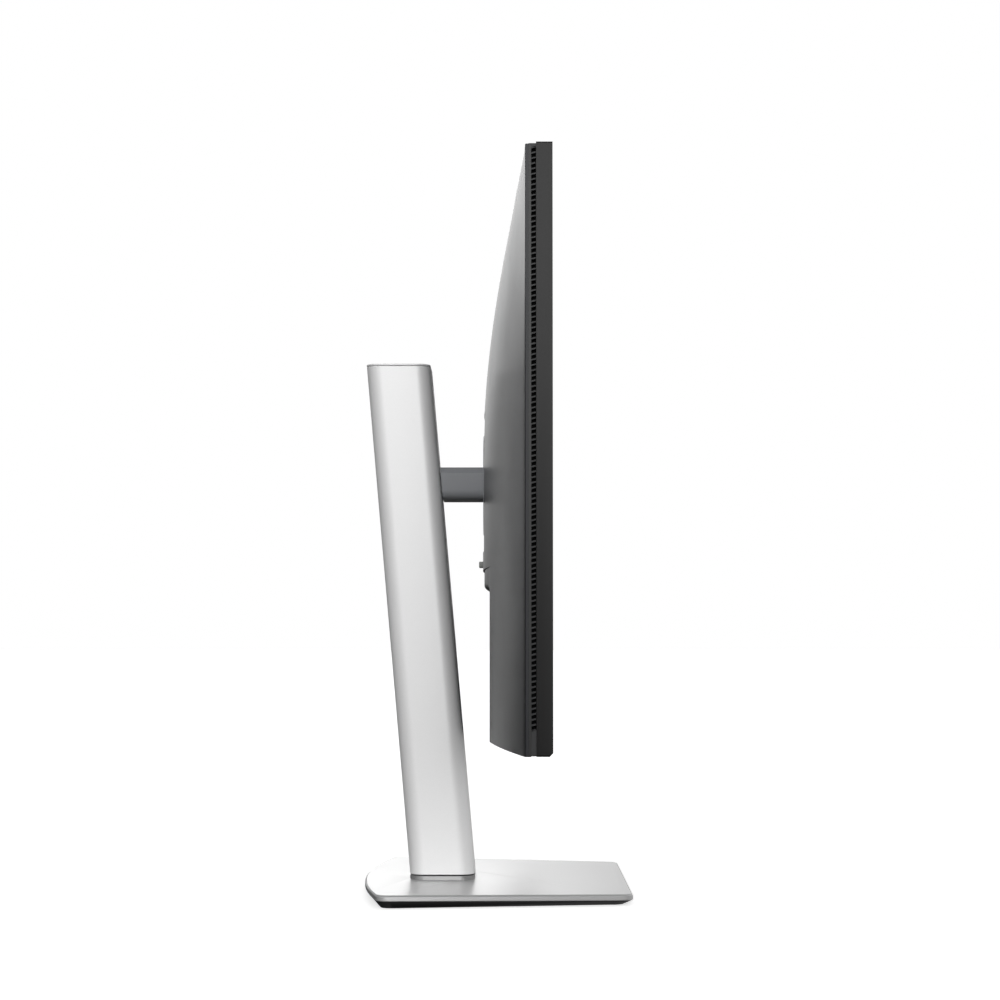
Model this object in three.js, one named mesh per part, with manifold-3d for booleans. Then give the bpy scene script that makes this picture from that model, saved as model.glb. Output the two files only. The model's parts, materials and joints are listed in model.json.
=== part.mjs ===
// A desktop computer monitor on a leaning, height-adjustable stand.
//
// Millimetres, +Z up. X runs across the screen and the screen faces -Y. The origin lies on the desk,
// under the middle of the whole outline. The parts are grouped as they move: the base stands still,
// the column swivels on it, the carriage slides in the column, the tilt head nods on the carriage's
// arm, and the display turns on the tilt head.

import * as THREE from "three";
import { mergeVertices } from "three/addons/utils/BufferGeometryUtils.js";
import Module from "manifold-3d";

const wasm = await Module();
wasm.setup();

// ---------------------------------------------------------------- driving dimensions

const GAP = 0.3; // between pieces that touch

// Display housing
const SCREEN_HALF_WIDTH = 305.65;
const SCREEN_BOTTOM = 109.4;
const SCREEN_TOP = 466.5;
const SCREEN_MIDDLE = (SCREEN_BOTTOM + SCREEN_TOP) / 2;
const FRAME_FRONT = -33.6;
const FRAME_BACK = -24;
const FRAME_WALL = 2.2;
const CHIN_HEIGHT = 8.4;
const BAND_BACK = -20.8;
const COVER_EDGE = -18.1;
const COVER_INSET = 1.2;
const COVER_WALL = 2.4;
const EDGE_ROUND = 0.5;
const CROWN_RISE = 26.6; // how far the cover's middle bulges behind its edge
const CROWN_BREAK = 296.5; // above this height the crown falls away
const CROWN_LEFT_AT_TOP = 0.225;
const CROWN_NARROWING = 0.61; // how much more pointed the crown is at the top
const LOWER_FLAT = 3.8; // the cover's lower part is cut flat at this depth
const LOWER_FLAT_TOP = 209.5;

// Mount on the back of the display
const MOUNT_Z = 284;
const PLATE_HALF_WIDTH = 58;
const PLATE_HALF_HEIGHT = 48;
const PLATE_BACK = 8.2;
const PLATE_FRONT = 2;
const DISC_RADIUS = 35.5;
const DISC_BACK = 8.7;
const TILT_AXIS_Y = 0;
const BARREL_RADIUS = 11;
const BARREL_HALF_LENGTH = 17;
const SHAFT_RADIUS = 4;
const EAR_BACK = 4.3;

// Arm between column and display
const ARM_HALF_WIDTH = 25;
const ARM_TOP = 11.7; // above its middle
const ARM_BOTTOM = 12.7; // below its middle
const ARM_WALL = 2;

// Column
const COLUMN_HALF_WIDTH = 32;
const COLUMN_HALF_DEPTH = 22.45;
const COLUMN_CORNER = 11;
const COLUMN_WALL = 2.5;
const COLUMN_FOOT = 12.5;
const COLUMN_TOP = 366.3;
const COLUMN_LEAN = 0.0885; // backwards per millimetre of height
const SWIVEL_Y = 37;
const SLOT_HALF_WIDTH = 15;
const SLOT_BOTTOM = 200;
const SLOT_TOP = 357;
const ARM_END = columnAxis(MOUNT_Z) - COLUMN_HALF_DEPTH; // where the arm meets the column
const CABLE_HOLE_Z = 128;

// Base
const BASE_FRONT = -91.15;
const BASE_BACK = 91.15;
const BASE_FRONT_HALF_WIDTH = 105;
const BASE_BACK_HALF_WIDTH = 126;
const BASE_CORNER_Y = 77;
const BASE_TOP_FRONT = 7.6;
const BASE_TOP_BACK = 9.4;
const BASE_CHAMFER = 1.2;
const PLATE_THICKNESS = 4;
const TRAY_CLEARANCE = 0.4; // between the tray and the desk
const FOOT_HEIGHT = 1.2;
const PLINTH_TOP = 11.7; // the low pad that the column turns on
const SWIVEL_HOLE_RADIUS = 12.5;
const WASHER_RADIUS = 19.8;
const WASHER_BOTTOM = 10.2;
const FOOT_PLACES = [
  [-88, -78],
  [0, -80],
  [88, -78],
  [-104, 62],
  [0, 76],
  [104, 62],
];

// Port bay in the cover's lower part; the sockets hang from its ceiling and face the desk
const BAY_HALF_WIDTH = 92;
const BAY_FLOOR = 126.5;
const BAY_CEILING = 180;
const BAY_DEPTH_Y = -19.5;
const SOCKET_WALL = 0.8;
const BOARD_BACK = -17.4;

// Each socket: name, place across the bay, half width and half depth of its mouth
const SOCKETS = [
  { name: "power_inlet", x: -68, halfWidth: 12.2, halfDepth: 8.2 },
  { name: "hdmi_socket", x: -32, halfWidth: 7.2, halfDepth: 2.5 },
  { name: "displayport_socket_1", x: -10, halfWidth: 8.1, halfDepth: 2.5 },
  { name: "displayport_socket_2", x: 12, halfWidth: 8.1, halfDepth: 2.5 },
  { name: "usb_upstream_socket", x: 32, halfWidth: 4.5, halfDepth: 4.1 },
  { name: "usb_socket_1", x: 51, halfWidth: 6.4, halfDepth: 2.9 },
  { name: "usb_socket_2", x: 71, halfWidth: 6.4, halfDepth: 2.9 },
];

// Buttons under the chin
const BUTTON_PLACES = [205, 223, 241, 259];
const POWER_BUTTON_X = 283;
const BUTTON_Y = -28.8;
const BUTTON_HALF_DEPTH = 2.2;

// ---------------------------------------------------------------- finishes

const FINISHES = {
  silver: { color: 0xc9cacc, roughness: 0.38, metalness: 0.85 },
  black: { color: 0x1c1d20, roughness: 0.5, metalness: 0 },
  cover: { color: 0x50535a, roughness: 0.55, metalness: 0 },
  arm: { color: 0x4a5058, roughness: 0.5, metalness: 0.1 },
  steel: { color: 0x8b8e92, roughness: 0.4, metalness: 1 },
  screen: { color: 0x08090b, roughness: 0.25, metalness: 0 },
  board: { color: 0x14502e, roughness: 0.6, metalness: 0 },
  diffuser: { color: 0xe8e8e4, roughness: 0.7, metalness: 0 },
  rubber: { color: 0x1a1a1b, roughness: 0.9, metalness: 0 },
  lamp: { color: 0xf2f4f6, roughness: 0.3, metalness: 0 },
};

// ---------------------------------------------------------------- small geometry kit

/** Names a geometry and gives it a finish of its own. */
function piece(name, geometry, finish) {
  const mesh = new THREE.Mesh(geometry, new THREE.MeshStandardMaterial(FINISHES[finish]));
  mesh.name = name;
  return mesh;
}

function group(...children) {
  return new THREE.Group().add(...children);
}

/** A box given by its spans along X, Y and Z. */
function block([x0, x1], [y0, y1], [z0, z1]) {
  const box = new THREE.BoxGeometry(x1 - x0, y1 - y0, z1 - z0);
  return box.translate((x0 + x1) / 2, (y0 + y1) / 2, (z0 + z1) / 2);
}

function roundedRectangle(halfWidth, halfHeight, radius) {
  const [w, h, r] = [halfWidth, halfHeight, radius];
  const shape = new THREE.Shape();
  shape.absarc(w - r, h - r, r, 0, Math.PI / 2);
  shape.absarc(r - w, h - r, r, Math.PI / 2, Math.PI);
  shape.absarc(r - w, r - h, r, Math.PI, 1.5 * Math.PI);
  shape.absarc(w - r, r - h, r, 1.5 * Math.PI, 2 * Math.PI);
  return shape;
}

function circle(radius) {
  return new THREE.Shape().absarc(0, 0, radius, 0, 2 * Math.PI);
}

/** Extrudes an outline drawn in X and Y upwards from z0 to z1. */
function upright(shape, z0, z1, curveSegments = 6) {
  const options = { depth: z1 - z0, bevelEnabled: false, curveSegments };
  return new THREE.ExtrudeGeometry(shape, options).translate(0, 0, z0);
}

/** Extrudes an outline drawn in X and Z backwards from y0 to y1. */
function backwards(shape, y0, y1, curveSegments = 6) {
  const options = { depth: y1 - y0, bevelEnabled: false, curveSegments };
  return new THREE.ExtrudeGeometry(shape, options).rotateX(Math.PI / 2).translate(0, y1, 0);
}

/** A cylinder along X whose axis passes through (y, z). */
function rodAlongX(radius, x0, x1, y, z, segments = 24) {
  const rod = new THREE.CylinderGeometry(radius, radius, x1 - x0, segments);
  return rod.rotateZ(-Math.PI / 2).translate((x0 + x1) / 2, y, z);
}

/** A disc or ring about a vertical axis through the origin. */
function ring(outer, inner, z0, z1) {
  const shape = circle(outer);
  if (inner > 0) shape.holes.push(new THREE.Path().absarc(0, 0, inner, 0, 2 * Math.PI, true));
  return upright(shape, z0, z1, 24);
}

function toSolid(geometry) {
  const bare = geometry.clone();
  bare.deleteAttribute("normal");
  bare.deleteAttribute("uv");
  const merged = mergeVertices(bare);
  return new wasm.Manifold(
    new wasm.Mesh({
      numProp: 3,
      vertProperties: new Float32Array(merged.attributes.position.array),
      triVerts: new Uint32Array(merged.index.array),
    }),
  );
}

function toGeometry(solid) {
  const { vertProperties, triVerts } = solid.getMesh();
  const geometry = new THREE.BufferGeometry();
  geometry.setAttribute("position", new THREE.BufferAttribute(vertProperties, 3));
  geometry.setIndex(new THREE.BufferAttribute(triVerts, 1));
  geometry.computeVertexNormals();
  return geometry;
}

function cut(body, ...tools) {
  return toGeometry(tools.reduce((left, tool) => left.subtract(toSolid(tool)), toSolid(body)));
}

function join(body, ...others) {
  return toGeometry(others.reduce((sum, other) => sum.add(toSolid(other)), toSolid(body)));
}

/** Moves every vertex by a rule that changes the vector it is given. */
function reshape(geometry, rule) {
  const positions = geometry.attributes.position;
  const point = new THREE.Vector3();
  for (let i = 0; i < positions.count; i += 1) {
    point.fromBufferAttribute(positions, i);
    rule(point);
    positions.setXYZ(i, point.x, point.y, point.z);
  }
  geometry.computeVertexNormals();
  return geometry;
}

/** A closed body through rings of points, listed from the lowest ring to the highest. */
function loft(rings) {
  const count = rings[0].length;
  const positions = rings.flat().flatMap((point) => [point.x, point.y, point.z]);
  const faces = [];
  for (let level = 0; level + 1 < rings.length; level += 1) {
    for (let i = 0; i < count; i += 1) {
      const a = level * count + i;
      const b = level * count + ((i + 1) % count);
      faces.push(a, b, b + count, a, b + count, a + count);
    }
  }
  const top = (rings.length - 1) * count;
  for (const [a, b, c] of THREE.ShapeUtils.triangulateShape(rings[0], [])) {
    faces.push(c, b, a, a + top, b + top, c + top);
  }
  const geometry = new THREE.BufferGeometry();
  geometry.setAttribute("position", new THREE.Float32BufferAttribute(positions, 3));
  geometry.setIndex(faces);
  geometry.computeVertexNormals();
  return geometry;
}

// ---------------------------------------------------------------- base

/** Height of the base's top, which falls a little towards the front. */
function baseTop(y) {
  const along = (y - BASE_FRONT) / (BASE_CORNER_Y - BASE_FRONT);
  return THREE.MathUtils.lerp(BASE_TOP_FRONT, BASE_TOP_BACK, Math.min(along, 1));
}

/** Outline of the base: straight front, sides that widen backwards, bowed rear edge. */
function baseOutline(inset) {
  const front = BASE_FRONT + inset;
  const back = BASE_BACK - inset;
  const frontX = BASE_FRONT_HALF_WIDTH - inset;
  const backX = BASE_BACK_HALF_WIDTH - inset;
  const cornerY = BASE_CORNER_Y - inset / 2;
  const bow = back - cornerY;
  const radius = (backX * backX + bow * bow) / (2 * bow);
  const cornerRound = 7;
  const reach = Math.asin((backX - cornerRound) / radius);
  const shape = new THREE.Shape();
  shape.moveTo(-frontX + cornerRound, front);
  shape.lineTo(frontX - cornerRound, front);
  shape.quadraticCurveTo(frontX, front, frontX + 0.8, front + cornerRound);
  shape.lineTo(backX - 0.8, cornerY - cornerRound);
  const armStart = new THREE.Vector2(backX - cornerRound, back - radius * (1 - Math.cos(reach)));
  shape.quadraticCurveTo(backX, cornerY, armStart.x, armStart.y);
  shape.absarc(0, back - radius, radius, Math.PI / 2 - reach, Math.PI / 2 + reach);
  shape.quadraticCurveTo(-backX, cornerY, -backX + 0.8, cornerY - cornerRound);
  shape.lineTo(-frontX - 0.8, front + cornerRound);
  shape.quadraticCurveTo(-frontX, front, -frontX + cornerRound, front);
  const points = shape.getPoints(8);
  points.pop();
  return points;
}

/** One ring of the base's loft: the outline at an inset, its height given by a rule in y. */
function baseRing(inset, heightAt) {
  return baseOutline(inset).map((point) => new THREE.Vector3(point.x, point.y, heightAt(point.y)));
}

function swivelHole(radius) {
  return ring(radius, 0, -5, 30).translate(0, SWIVEL_Y, 0);
}

/** The silver plate with the low plinth under the column and a seat for the swivel's washer. */
function basePlate() {
  const slab = loft([
    baseRing(0.4, (y) => baseTop(y) - PLATE_THICKNESS),
    baseRing(0, (y) => baseTop(y) - PLATE_THICKNESS + 0.4),
    baseRing(0, (y) => baseTop(y) - BASE_CHAMFER),
    baseRing(BASE_CHAMFER, baseTop),
  ]);
  const plinth = upright(columnOutline(0), BASE_TOP_FRONT, PLINTH_TOP, 10).translate(0, SWIVEL_Y, 0);
  const seat = ring(WASHER_RADIUS + GAP, 0, WASHER_BOTTOM - GAP, 30).translate(0, SWIVEL_Y, 0);
  return piece("base_plate", cut(join(slab, plinth), swivelHole(SWIVEL_HOLE_RADIUS), seat), "silver");
}

function baseTray() {
  const slab = loft([
    baseRing(6, () => TRAY_CLEARANCE),
    baseRing(0.8, (y) => baseTop(y) - PLATE_THICKNESS - GAP),
  ]);
  const pockets = FOOT_PLACES.map(([x, y]) => footPad(GAP, FOOT_HEIGHT).translate(x, y, -0.01));
  return piece("base_tray", cut(slab, swivelHole(17), ...pockets), "black");
}

function footPad(growth, height) {
  return upright(roundedRectangle(9 + growth, 4 + growth, 3.5 + growth), 0, height, 4);
}

function feet() {
  return FOOT_PLACES.map(([x, y], index) => {
    const foot = piece(`rubber_foot_${index + 1}`, footPad(0, FOOT_HEIGHT - GAP), "rubber");
    foot.position.set(x, y, 0);
    return foot;
  });
}

function swivelBush() {
  const bush = piece("swivel_bush", ring(SWIVEL_HOLE_RADIUS - GAP, 9.3, 4.7, WASHER_BOTTOM - GAP), "black");
  bush.position.y = SWIVEL_Y;
  return bush;
}

// ---------------------------------------------------------------- column

/** Depth of the leaning column's middle line at a height. */
function columnAxis(z) {
  return SWIVEL_Y + COLUMN_LEAN * (z - COLUMN_FOOT);
}

/** Leans a geometry that was modelled about an upright axis through the column's foot. */
function lean(geometry) {
  return reshape(geometry, (point) => {
    point.y += columnAxis(point.z);
  });
}

function columnOutline(inset) {
  const halfWidth = COLUMN_HALF_WIDTH - inset;
  const halfDepth = COLUMN_HALF_DEPTH - inset;
  return roundedRectangle(halfWidth, halfDepth, COLUMN_CORNER - inset);
}

function columnShell() {
  const outline = columnOutline(0);
  outline.holes.push(columnOutline(COLUMN_WALL));
  const slot = block([-SLOT_HALF_WIDTH, SLOT_HALF_WIDTH], [-40, 0], [SLOT_BOTTOM, SLOT_TOP]);
  const shell = cut(upright(outline, COLUMN_FOOT, COLUMN_TOP, 10), slot, cableHole(0, 60));
  return piece("column_shell", lean(shell), "silver");
}

/** The upright oval that runs through the column for the cables. */
function cableHole(inset, reach) {
  const oval = roundedRectangle(17 - inset, 24 - inset, 16.5 - inset);
  return backwards(oval, -reach, reach, 8).translate(0, 0, CABLE_HOLE_Z);
}

function cableLiner() {
  const bore = cableHole(2, 60);
  const tube = cableHole(GAP, COLUMN_HALF_DEPTH - GAP);
  return piece("cable_liner", lean(cut(tube, bore)), "black");
}

function columnCap() {
  const lid = upright(columnOutline(0), COLUMN_TOP + GAP, COLUMN_TOP + 1.5, 10);
  return piece("column_cap", lean(lid), "silver");
}

function guideRail(side, name) {
  const rail = block([25, 28.2], [-7, 7], [192, 362]);
  if (side < 0) rail.rotateY(Math.PI).translate(0, 0, 192 + 362);
  return piece(name, lean(rail), "steel");
}

function footFlange() {
  const flange = upright(columnOutline(COLUMN_WALL + 0.8), COLUMN_FOOT + GAP, COLUMN_FOOT + 5);
  return piece("foot_flange", lean(flange), "steel");
}

function swivelWasher() {
  const flat = ring(WASHER_RADIUS, 9.3, WASHER_BOTTOM, COLUMN_FOOT - GAP);
  const washer = piece("swivel_washer", flat, "black");
  washer.position.y = SWIVEL_Y;
  return washer;
}

function swivelShaft() {
  const shaft = piece("swivel_shaft", ring(9, 0, 2.9, COLUMN_FOOT), "steel");
  shaft.position.y = SWIVEL_Y;
  return shaft;
}

function swivelNut() {
  const nut = piece("swivel_nut", ring(15, 0, 1.2, 2.6), "steel");
  nut.position.y = SWIVEL_Y;
  return nut;
}

// ---------------------------------------------------------------- carriage and arm

/** Shears what lies behind the arm's middle so that its end is parallel to the leaning column. */
function matchColumn(geometry) {
  return reshape(geometry, (point) => {
    if (point.y > ARM_END / 2) point.y += COLUMN_LEAN * (point.z - MOUNT_Z);
  });
}

function carriageBlock() {
  const front = -COLUMN_HALF_DEPTH + COLUMN_WALL + 1;
  const body = block([-24.4, 24.4], [front, 0], [MOUNT_Z - 17, MOUNT_Z + 17]);
  return piece("carriage_block", lean(body), "black");
}

function springRoll() {
  return piece("lift_spring_roll", rodAlongX(8.5, -12, 12, columnAxis(MOUNT_Z) + 10.5, MOUNT_Z), "steel");
}

function armBracket() {
  const neckEnd = ARM_END + COLUMN_WALL + 0.6;
  const neck = block([-13.5, 13.5], [0, neckEnd], [MOUNT_Z - 8.5, MOUNT_Z + 8.5]);
  const barrel = rodAlongX(BARREL_RADIUS, -BARREL_HALF_LENGTH, BARREL_HALF_LENGTH, TILT_AXIS_Y, MOUNT_Z);
  const bore = rodAlongX(SHAFT_RADIUS + GAP, -30, 30, TILT_AXIS_Y, MOUNT_Z);
  return piece("arm_bracket", cut(join(barrel, matchColumn(neck)), bore), "steel");
}

/** Section of the arm's cover: chamfered above, rounded below. */
function armOutline(inset) {
  const side = ARM_HALF_WIDTH - inset;
  const top = ARM_TOP - inset;
  const bottom = ARM_BOTTOM - inset;
  const shape = new THREE.Shape();
  shape.moveTo(side, 5.2 - bottom);
  shape.lineTo(side, top - 4.2);
  shape.lineTo(side - 4.2, top);
  shape.lineTo(4.2 - side, top);
  shape.lineTo(-side, top - 4.2);
  shape.lineTo(-side, 5.2 - bottom);
  shape.quadraticCurveTo(-side, -bottom, 6.4 - side, -bottom);
  shape.lineTo(side - 6.4, -bottom);
  shape.quadraticCurveTo(side, -bottom, side, 5.2 - bottom);
  return shape;
}

function armCover() {
  const outline = armOutline(0);
  outline.holes.push(armOutline(ARM_WALL));
  const sleeve = backwards(outline, 6.5, ARM_END - 0.6).translate(0, 0, MOUNT_Z);
  return piece("arm_cover", matchColumn(sleeve), "arm");
}

function tiltWasher(name, x) {
  const outer = rodAlongX(8, x - 1, x + 1, TILT_AXIS_Y, MOUNT_Z);
  const bore = rodAlongX(SHAFT_RADIUS + GAP, x - 3, x + 3, TILT_AXIS_Y, MOUNT_Z);
  return piece(name, cut(outer, bore), "steel");
}

// ---------------------------------------------------------------- tilt head

/** The round plate that the display turns on, with the opening that the arm comes through. */
function pivotDisc() {
  const disc = backwards(circle(DISC_RADIUS), PLATE_FRONT, DISC_BACK, 32).translate(0, 0, MOUNT_Z);
  const opening = block([-27, 27], [-20, 20], [MOUNT_Z - 14.7, MOUNT_Z + 17]);
  const earPocket = block([-32.4, 32.4], [-20, EAR_BACK + GAP], [MOUNT_Z - 11.5, MOUNT_Z + 11.5]);
  return piece("pivot_disc", cut(disc, opening, earPocket), "arm");
}

function pivotRetainer() {
  const shape = circle(40);
  shape.holes.push(new THREE.Path().absarc(0, 0, 34.2, 0, 2 * Math.PI, true));
  const retainer = backwards(shape, -0.9, PLATE_FRONT - GAP, 32).translate(0, 0, MOUNT_Z);
  return piece("pivot_retainer", retainer, "steel");
}

function tiltEar(name, x) {
  const ear = block([x - 1.5, x + 1.5], [-8, EAR_BACK], [MOUNT_Z - 11, MOUNT_Z + 11]);
  const bore = rodAlongX(SHAFT_RADIUS + GAP, x - 3, x + 3, TILT_AXIS_Y, MOUNT_Z);
  return piece(name, cut(ear, bore), "steel");
}

function tiltShaft() {
  return piece("tilt_shaft", rodAlongX(SHAFT_RADIUS, -31.6, 31.6, TILT_AXIS_Y, MOUNT_Z), "steel");
}

// ---------------------------------------------------------------- display: cover

/** How far a height is into the crown's falling part: 0 below it, 1 at the top, squared between. */
function crownFall(z) {
  return (Math.max(0, z - CROWN_BREAK) / (SCREEN_TOP - CROWN_BREAK)) ** 2;
}

/** Quarter-round fall towards an edge, as a share of the full rise. */
function edgeFall(distance) {
  const inside = Math.min(1, Math.max(0, distance / EDGE_ROUND));
  return Math.sqrt(1 - (1 - inside) ** 2);
}

/** Depth of the rear cover's outer face behind the screen plane. */
function coverDepth(x, z) {
  const span = SCREEN_HALF_WIDTH - COVER_INSET;
  const fall = crownFall(z);
  const left = 1 - (1 - CROWN_LEFT_AT_TOP) * fall;
  const sideways = Math.max(0, 1 - (x / span) ** 2) ** (1 + CROWN_NARROWING * fall);
  const edge = edgeFall(span - Math.abs(x)) * edgeFall(SCREEN_TOP - COVER_INSET - z);
  const dome = COVER_EDGE + EDGE_ROUND * edge + CROWN_RISE * left * sideways;
  return z < LOWER_FLAT_TOP ? Math.min(dome, LOWER_FLAT) : dome;
}

/** Evenly spread values from start to end, both included. */
function spread(start, end, steps) {
  return Array.from({ length: steps + 1 }, (_, i) => start + ((end - start) * i) / steps);
}

/** A closed body between a flat front at y and a curved back, over a grid of X and Z lines. */
function domeBody(columns, rows, front, backAt) {
  const positions = [];
  for (const z of rows) {
    for (const x of columns) {
      positions.push(x, front, z, x, backAt(x, z), z);
    }
  }
  const frontIndex = (i, j) => 2 * (j * columns.length + i);
  const backIndex = (i, j) => frontIndex(i, j) + 1;
  const faces = [];
  const quad = (a, b, c, d) => faces.push(a, b, c, a, c, d);
  const right = columns.length - 1;
  const top = rows.length - 1;
  for (let j = 0; j < top; j += 1) {
    for (let i = 0; i < right; i += 1) {
      quad(frontIndex(i, j), frontIndex(i + 1, j), frontIndex(i + 1, j + 1), frontIndex(i, j + 1));
      quad(backIndex(i, j + 1), backIndex(i + 1, j + 1), backIndex(i + 1, j), backIndex(i, j));
    }
    quad(frontIndex(0, j), frontIndex(0, j + 1), backIndex(0, j + 1), backIndex(0, j));
    quad(backIndex(right, j), backIndex(right, j + 1), frontIndex(right, j + 1), frontIndex(right, j));
  }
  for (let i = 0; i < right; i += 1) {
    quad(backIndex(i, 0), backIndex(i + 1, 0), frontIndex(i + 1, 0), frontIndex(i, 0));
    quad(frontIndex(i, top), frontIndex(i + 1, top), backIndex(i + 1, top), backIndex(i, top));
  }
  const geometry = new THREE.BufferGeometry();
  geometry.setAttribute("position", new THREE.Float32BufferAttribute(positions, 3));
  geometry.setIndex(faces);
  geometry.computeVertexNormals();
  return geometry;
}

function rearCover() {
  const halfWidth = SCREEN_HALF_WIDTH - COVER_INSET;
  const bottom = SCREEN_BOTTOM + 0.6;
  const top = SCREEN_TOP - COVER_INSET;
  const step = 1.2;
  const lowRows = [bottom, 160, LOWER_FLAT_TOP - step, LOWER_FLAT_TOP + step, 255];
  const rows = [...lowRows, ...spread(CROWN_BREAK, top - EDGE_ROUND, 8), top];
  const columns = [-halfWidth, ...spread(EDGE_ROUND - halfWidth, halfWidth - EDGE_ROUND, 22), halfWidth];
  const outside = domeBody(columns, rows, BAND_BACK, coverDepth);
  const inset = (value, low, high) => Math.min(high - COVER_WALL, Math.max(low + COVER_WALL, value));
  const innerColumns = [...new Set(columns.map((x) => inset(x, -halfWidth, halfWidth)))];
  const innerRows = [...new Set(rows.map((z) => inset(z, bottom, top)))];
  const inside = domeBody(innerColumns, innerRows, BAND_BACK - 1, (x, z) => coverDepth(x, z) - COVER_WALL);
  const plateHole = block(
    [-PLATE_HALF_WIDTH - 0.4, PLATE_HALF_WIDTH + 0.4],
    [-10, 20],
    [MOUNT_Z - PLATE_HALF_HEIGHT - 0.4, MOUNT_Z + PLATE_HALF_HEIGHT + 0.4],
  );
  const buttonSlot = block([-9.6, 9.6], [-10, 20], [225.2, 233.4]);
  const bayWindow = block(
    [-BAY_HALF_WIDTH - GAP, BAY_HALF_WIDTH + GAP],
    [-10, 20],
    [BAY_FLOOR - GAP, BAY_CEILING + 1.5],
  );
  return piece("rear_cover", cut(outside, inside, plateHole, buttonSlot, bayWindow), "cover");
}

/** The dark band of side vents between the front frame and the rear cover. */
function ventBand() {
  const halfHeight = (SCREEN_TOP - SCREEN_BOTTOM) / 2;
  const outline = roundedRectangle(SCREEN_HALF_WIDTH - 1, halfHeight - 1, 1);
  outline.holes.push(roundedRectangle(SCREEN_HALF_WIDTH - 3.4, halfHeight - 3.4, 0.5));
  const band = backwards(outline, FRAME_BACK + GAP, BAND_BACK - GAP, 2).translate(0, 0, SCREEN_MIDDLE);
  return piece("vent_band", band, "black");
}

// ---------------------------------------------------------------- display: front and panel

function buttonHole(x, halfWidth) {
  const across = [x - halfWidth - GAP, x + halfWidth + GAP];
  const deep = [BUTTON_Y - BUTTON_HALF_DEPTH - GAP, BUTTON_Y + BUTTON_HALF_DEPTH + GAP];
  return block(across, deep, [105, 114]);
}

function frontFrame() {
  const halfHeight = (SCREEN_TOP - SCREEN_BOTTOM) / 2;
  const outline = roundedRectangle(SCREEN_HALF_WIDTH, halfHeight, 1.2);
  const slab = backwards(outline, FRAME_FRONT, FRAME_BACK, 2).translate(0, 0, SCREEN_MIDDLE);
  const inner = [-SCREEN_HALF_WIDTH + FRAME_WALL, SCREEN_HALF_WIDTH - FRAME_WALL];
  const window = block(inner, [-50, 0], [SCREEN_BOTTOM + CHIN_HEIGHT, SCREEN_TOP - FRAME_WALL]);
  const buttonRoom = block([194, 296], [BUTTON_Y - 2.8, 0], [SCREEN_BOTTOM + 2.4, SCREEN_BOTTOM + 6.4]);
  const lampHole = block([POWER_BUTTON_X - 3.3, POWER_BUTTON_X + 3.3], [-50, -30], [112.4, 114.2]);
  const holes = BUTTON_PLACES.map((x) => buttonHole(x, 5.7));
  holes.push(buttonHole(POWER_BUTTON_X, 6.2));
  const bevel = block([-400, 400], [-3, 3], [-3, 3]).rotateX(0.75);
  bevel.translate(0, FRAME_FRONT - 1, SCREEN_BOTTOM - 1.1);
  return piece("front_frame", cut(slab, window, buttonRoom, lampHole, bevel, ...holes), "black");
}

function panelLayer(name, front, back, inset, finish) {
  const halfWidth = SCREEN_HALF_WIDTH - FRAME_WALL - GAP - inset;
  const low = SCREEN_BOTTOM + CHIN_HEIGHT + GAP + inset;
  const high = SCREEN_TOP - FRAME_WALL - GAP - inset;
  return piece(name, block([-halfWidth, halfWidth], [front, back], [low, high]), finish);
}

function panelLayers() {
  return [
    panelLayer("lcd_panel", -33.1, -31.7, 0, "screen"),
    panelLayer("backlight_unit", -31.4, -27.4, 0.4, "diffuser"),
    panelLayer("chassis_plate", -27.1, -25.7, 0.8, "steel"),
  ];
}

function statusLamp() {
  const lens = block([-3, 3], [-33.5, -32], [112.7, 113.9]).translate(POWER_BUTTON_X, 0, 0);
  return piece("status_lamp", lens, "lamp");
}

/** A push button on the underside of the chin. */
function chinButton(name, x, halfWidth) {
  const outline = roundedRectangle(halfWidth, BUTTON_HALF_DEPTH, 1);
  const button = piece(name, upright(outline, SCREEN_BOTTOM - 0.7, SCREEN_BOTTOM + 4.6, 3), "black");
  button.position.set(x, BUTTON_Y, 0);
  return button;
}

function chinButtons() {
  const menu = BUTTON_PLACES.map((x, index) => chinButton(`menu_button_${index + 1}`, x, 5.4));
  return [...menu, chinButton("power_button", POWER_BUTTON_X, 5.9)];
}

// ---------------------------------------------------------------- display: mount and electronics

/** H-shaped steel bracket that ties the quick-release plate to the panel's back. */
function vesaBracket() {
  const heights = [MOUNT_Z - 46, MOUNT_Z + 46];
  const web = block([-55, 55], [-16, -14.4], heights);
  const left = block([-56, -54], [-25.4, PLATE_FRONT - GAP], heights);
  const right = block([54, 56], [-25.4, PLATE_FRONT - GAP], heights);
  return piece("vesa_bracket", join(web, left, right), "steel");
}

function quickReleasePlate() {
  const outline = roundedRectangle(PLATE_HALF_WIDTH, PLATE_HALF_HEIGHT, 4);
  outline.holes.push(new THREE.Path().absarc(0, 0, DISC_RADIUS + 0.4, 0, 2 * Math.PI, true));
  const plate = backwards(outline, PLATE_FRONT, PLATE_BACK, 24).translate(0, 0, MOUNT_Z);
  return piece("quick_release_plate", plate, "cover");
}

function releaseButton() {
  return piece("release_button", block([-9, 9], [-3, 11.8], [225.6, 229.8]), "black");
}

/** Lining of the port bay: a tray open to the back and above. */
function portBay() {
  const wall = 1.5;
  const across = [-BAY_HALF_WIDTH, BAY_HALF_WIDTH];
  const outside = block(across, [BAY_DEPTH_Y, LOWER_FLAT], [BAY_FLOOR, BAY_CEILING]);
  const inside = block(
    [wall - BAY_HALF_WIDTH, BAY_HALF_WIDTH - wall],
    [BAY_DEPTH_Y + wall, 20],
    [BAY_FLOOR + wall, 200],
  );
  return piece("port_bay", cut(outside, inside), "cover");
}

function socketY(socket) {
  return BOARD_BACK + GAP + SOCKET_WALL + socket.halfDepth;
}

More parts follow.
